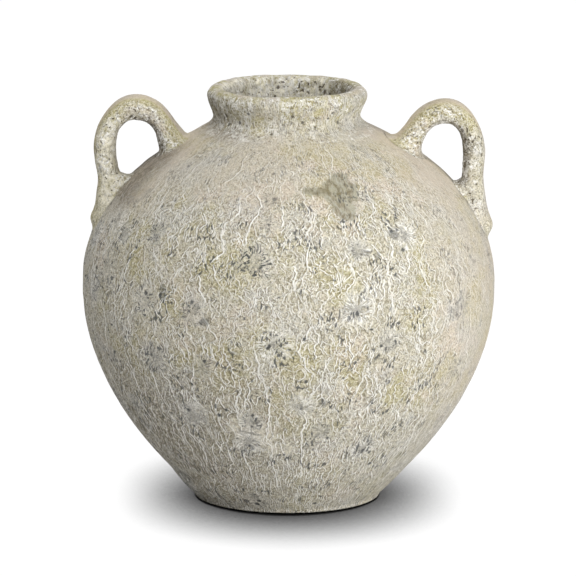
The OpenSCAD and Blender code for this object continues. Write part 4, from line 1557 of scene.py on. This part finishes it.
def weathered_skin(name, colours, veined=1.0, limed=1.0, mossy=0.85):
    """The limed, pitted and lichen-tinted skin of the jar, with how veined, limed and mossy it is."""
    n = SkinNodes(name, colours)
    lines, sides = n.lime_lines(veined)
    dark = n.dark_marks()
    blobs = n.noise(n.vector("ADD", n.place, (0.7, 0.9, 0.1)), 520, 2.0, 0.65)
    crusted = n.lime_crust(limed)
    # Painted shadow in umber beside the lime threads and rays
    skin = n.mix(n.times(sides, SHADOW_SIDES_SHOWN), n.slip(mossy, blobs), colours.umber)
    skin = n.mix(n.times(n.value("milky"), n.field("mottle")), skin, colours.milk)
    # Soil, and painted shade on faces in shadow, from the inside value
    skin = n.mix(n.times(n.inside, n.field("soil_and_shade_mottle")), skin, colours.soil_and_shade)
    skin = n.mix(lines, n.mix(crusted, skin, colours.lime), colours.lime)
    holes = n.times(n.field("holes", shift=(0.2, 0.5, 0.8)), n.crust, HOLES_SHOWN)
    skin = n.mix(holes, skin, colours.soil_and_shade)
    bare = n.mix(n.field("bare", n.straight), colours.worn, colours.umber)
    skin = n.mix(n.times(n.value("worn"), WORN_SHOWN), skin, bare)
    pitch = n.mix(n.most(n.times(n.crust, 0.8), n.moss), colours.slate, colours.soil_and_shade)
    skin = n.mix(n.times(dark, DARK_SHOWN), skin, pitch)
    skin = n.mix(n.times(n.value("stain"), STAINS_SHOWN), skin, colours.slate)
    relief = n.times(sides, SIDES_RISE)
    for layer, rise in ((lines, LINES_RISE), (n.most(dark, holes), DARK_RISE), (crusted, CRUST_RISE),
                        (n.patchy, PATCHY_RISE), (blobs, BLOBS_RISE)):
        relief = n.math("MULTIPLY_ADD", layer, rise, relief)
    return n.clay(skin, relief, 1.0, SKIN_DEPTH, SKIN_ROUGHNESS)


def raw_clay(colours):
    """The unglazed clay inside the jar, with sand in it."""
    n = Nodes(bpy.data.materials.new("raw_clay"))
    place = n.node("ShaderNodeTexCoord").outputs["Object"]
    cloud = n.ramp(n.noise(place, 30, 3.0, 0.6), 0.35, 0.7)
    sand = n.noise(place, 900, 2.0, 0.6)
    base = n.mix(n.ramp(sand, 0.58, 0.7, 0.0, 0.4), n.mix(cloud, colours.inner, colours.olive),
                 colours.umber)
    return n.clay(base, sand, 0.5, RAW_DEPTH, RAW_ROUGHNESS)


# Half the floor's width in metres, and the camera's sensor in millimetres
FLOOR_HALF = 60.0
SENSOR_WIDTH = 36
WHITE = (1.0, 1.0, 1.0)
# Bearing of each lamp from the camera's side, and its height over the jar's middle, in degrees
LAMPS = {"key": (60, 8), "front": (20, 15), "top": (-45, 65), "back": (182, 35)}


def seen_rays(n):
    """1 for rays from the camera, and for those that show the room in gloss or glass."""
    rays = n.node("ShaderNodeLightPath").outputs
    bent = n.math("ADD", rays["Is Glossy Ray"], rays["Is Transmission Ray"])
    return n.math("ADD", rays["Is Camera Ray"], bent, clamp=True)


class JAR_OT_stage(bpy.types.Operator):
    """Set the floor, the lamps, the light from all sides and the camera."""

    bl_idname = "jar.stage"
    bl_label = "Stage"

    def execute(self, context):
        scene, stage = context.scene, context.scene.jar_stage
        scene.view_settings.view_transform = "Standard"
        self.floor(scene, stage)
        self.light(scene, stage)
        self.camera(scene, stage)
        return {"FINISHED"}

    def floor(self, scene, stage):
        """Lays the pale floor, which the jar darkens round its foot."""
        half = FLOOR_HALF
        mesh = bpy.data.meshes.new("floor")
        mesh.from_pydata([(-half, -half, 0), (half, -half, 0), (half, half, 0), (-half, half, 0)], [],
                         [(0, 1, 2, 3)])
        mesh.materials.append(self.paper(stage))
        floor = bpy.data.objects.new("floor", mesh)
        scene.collection.objects.link(floor)

    def paper(self, stage):
        """The floor's paper, with a glow of its own that fades near the jar, most before it."""
        n = Nodes(bpy.data.materials.new("floor_paper"))
        spot = n.vector("NORMALIZE", n.node("ShaderNodeNewGeometry").outputs["Position"])
        before = n.parts(spot)[1]
        before = n.times(before, before)
        near = n.blend(before, stage.side_contact, stage.front_contact)
        touch = n.node("ShaderNodeAmbientOcclusion", {"Distance": near}, samples=8).outputs["AO"]
        far = n.blend(before, stage.side_reach, stage.front_reach)
        shelter = n.node("ShaderNodeAmbientOcclusion", {"Distance": far}, samples=8).outputs["AO"]
        seen = seen_rays(n)
        dusk = n.times(n.math("POWER", touch, 3.0), stage.floor_shade, stage.floor_tone)
        paper = n.node("ShaderNodeBsdfDiffuse", {"Color": n.blend(seen, stage.floor_tone, dusk)})
        depth = n.math("MULTIPLY_ADD", n.times(before, before), stage.front_depth, 1.0)
        open_floor = n.math("POWER", n.ramp(shelter, 0.05, 1.0), depth)
        strength = n.times(seen, open_floor, n.math("POWER", touch, 4.0), stage.floor_glow)
        glow = n.node("ShaderNodeEmission", {"Color": WHITE, "Strength": strength})
        both = n.node("ShaderNodeAddShader", {0: paper.outputs[0], 1: glow.outputs[0]})
        n.node("ShaderNodeOutputMaterial", {"Surface": both.outputs[0]})
        return n.owner

    def light(self, scene, stage):
        """Sets the light from all sides, which is white to the camera, and the lamps."""
        n = Nodes(bpy.data.worlds.new("soft_room"))
        strength = n.ramp(seen_rays(n), 0.0, 1.0, stage.fill, 1.0)
        backdrop = n.node("ShaderNodeBackground", {"Color": WHITE, "Strength": strength})
        n.node("ShaderNodeOutputWorld", {"Surface": backdrop.outputs[0]})
        scene.world = n.owner
        for name, angles in LAMPS.items():
            lamp = bpy.data.lights.new(name, "AREA")
            lamp.shape = "DISK"
            lamp.size = stage.lamp_size
            lamp.energy = getattr(stage, f"{name}_power")
            thing = bpy.data.objects.new(name, lamp)
            turn, rise = map(math.radians, angles)
            way = around(math.cos(rise), turn - math.pi / 2, math.sin(rise))
            middle = UP * stage.aim_z
            aim(thing, way * stage.lamp_distance + middle, middle)
            scene.collection.objects.link(thing)

    def camera(self, scene, stage):
        """Sets the camera where the photograph was taken from."""
        lens = bpy.data.cameras.new("camera")
        lens.lens = stage.lens
        lens.sensor_width = SENSOR_WIDTH
        camera = bpy.data.objects.new("camera", lens)
        rise = stage.camera_elevation
        spot = (stage.aim_x, -stage.camera_distance * math.cos(rise),
                stage.aim_z + stage.camera_distance * math.sin(rise))
        aim(camera, spot, (stage.aim_x, 0, stage.aim_z))
        scene.collection.objects.link(camera)
        scene.camera = camera


def aim(thing, spot, target):
    """Puts a lamp or a camera at a spot, looking at a target."""
    thing.location = Vector(spot)
    thing.rotation_mode = "QUATERNION"
    thing.rotation_quaternion = (Vector(target) - Vector(spot)).to_track_quat("-Z", "Y")


class JAR_PT_sidebar(bpy.types.Panel):
    """Lists the jar's pieces, sizes and colours."""

    bl_label = "Jar"
    bl_idname = "JAR_PT_sidebar"
    bl_space_type = "VIEW_3D"
    bl_region_type = "UI"
    bl_category = "Jar"

    def draw(self, context):
        for operator in STEPS:
            self.layout.operator(operator.bl_idname)
        for group in (context.scene.jar_sizes, context.scene.jar_straps, context.scene.jar_colours,
                      context.scene.jar_stage):
            box = self.layout.box()
            for key in group.__annotations__:
                box.prop(group, key)


GROUPS = {"jar_sizes": JarSizes, "jar_straps": HandleSizes, "jar_colours": FinishColours,
          "jar_stage": StageSettings}
STEPS = (JAR_OT_base_disc, JAR_OT_bowls, JAR_OT_seam_coil, JAR_OT_collar, JAR_OT_lip, JAR_OT_handles,
         JAR_OT_stage)


def register():
    """Registers the groups, the operators and the panel."""
    for key, group in GROUPS.items():
        bpy.utils.register_class(group)
        setattr(bpy.types.Scene, key, bpy.props.PointerProperty(type=group))
    for step in (*STEPS, JAR_PT_sidebar):
        bpy.utils.register_class(step)


def unregister():
    """Takes them back in turn."""
    for step in (JAR_PT_sidebar, *reversed(STEPS)):
        bpy.utils.unregister_class(step)
    for key, group in GROUPS.items():
        delattr(bpy.types.Scene, key)
        bpy.utils.unregister_class(group)


def main():
    """Builds the jar."""
    register()
    bpy.ops.jar.base_disc()
    bpy.ops.jar.bowls()
    bpy.ops.jar.seam_coil()
    bpy.ops.jar.collar()
    bpy.ops.jar.lip()
    bpy.ops.jar.handles()
    bpy.ops.jar.stage()


if __name__ == "__main__":
    main()
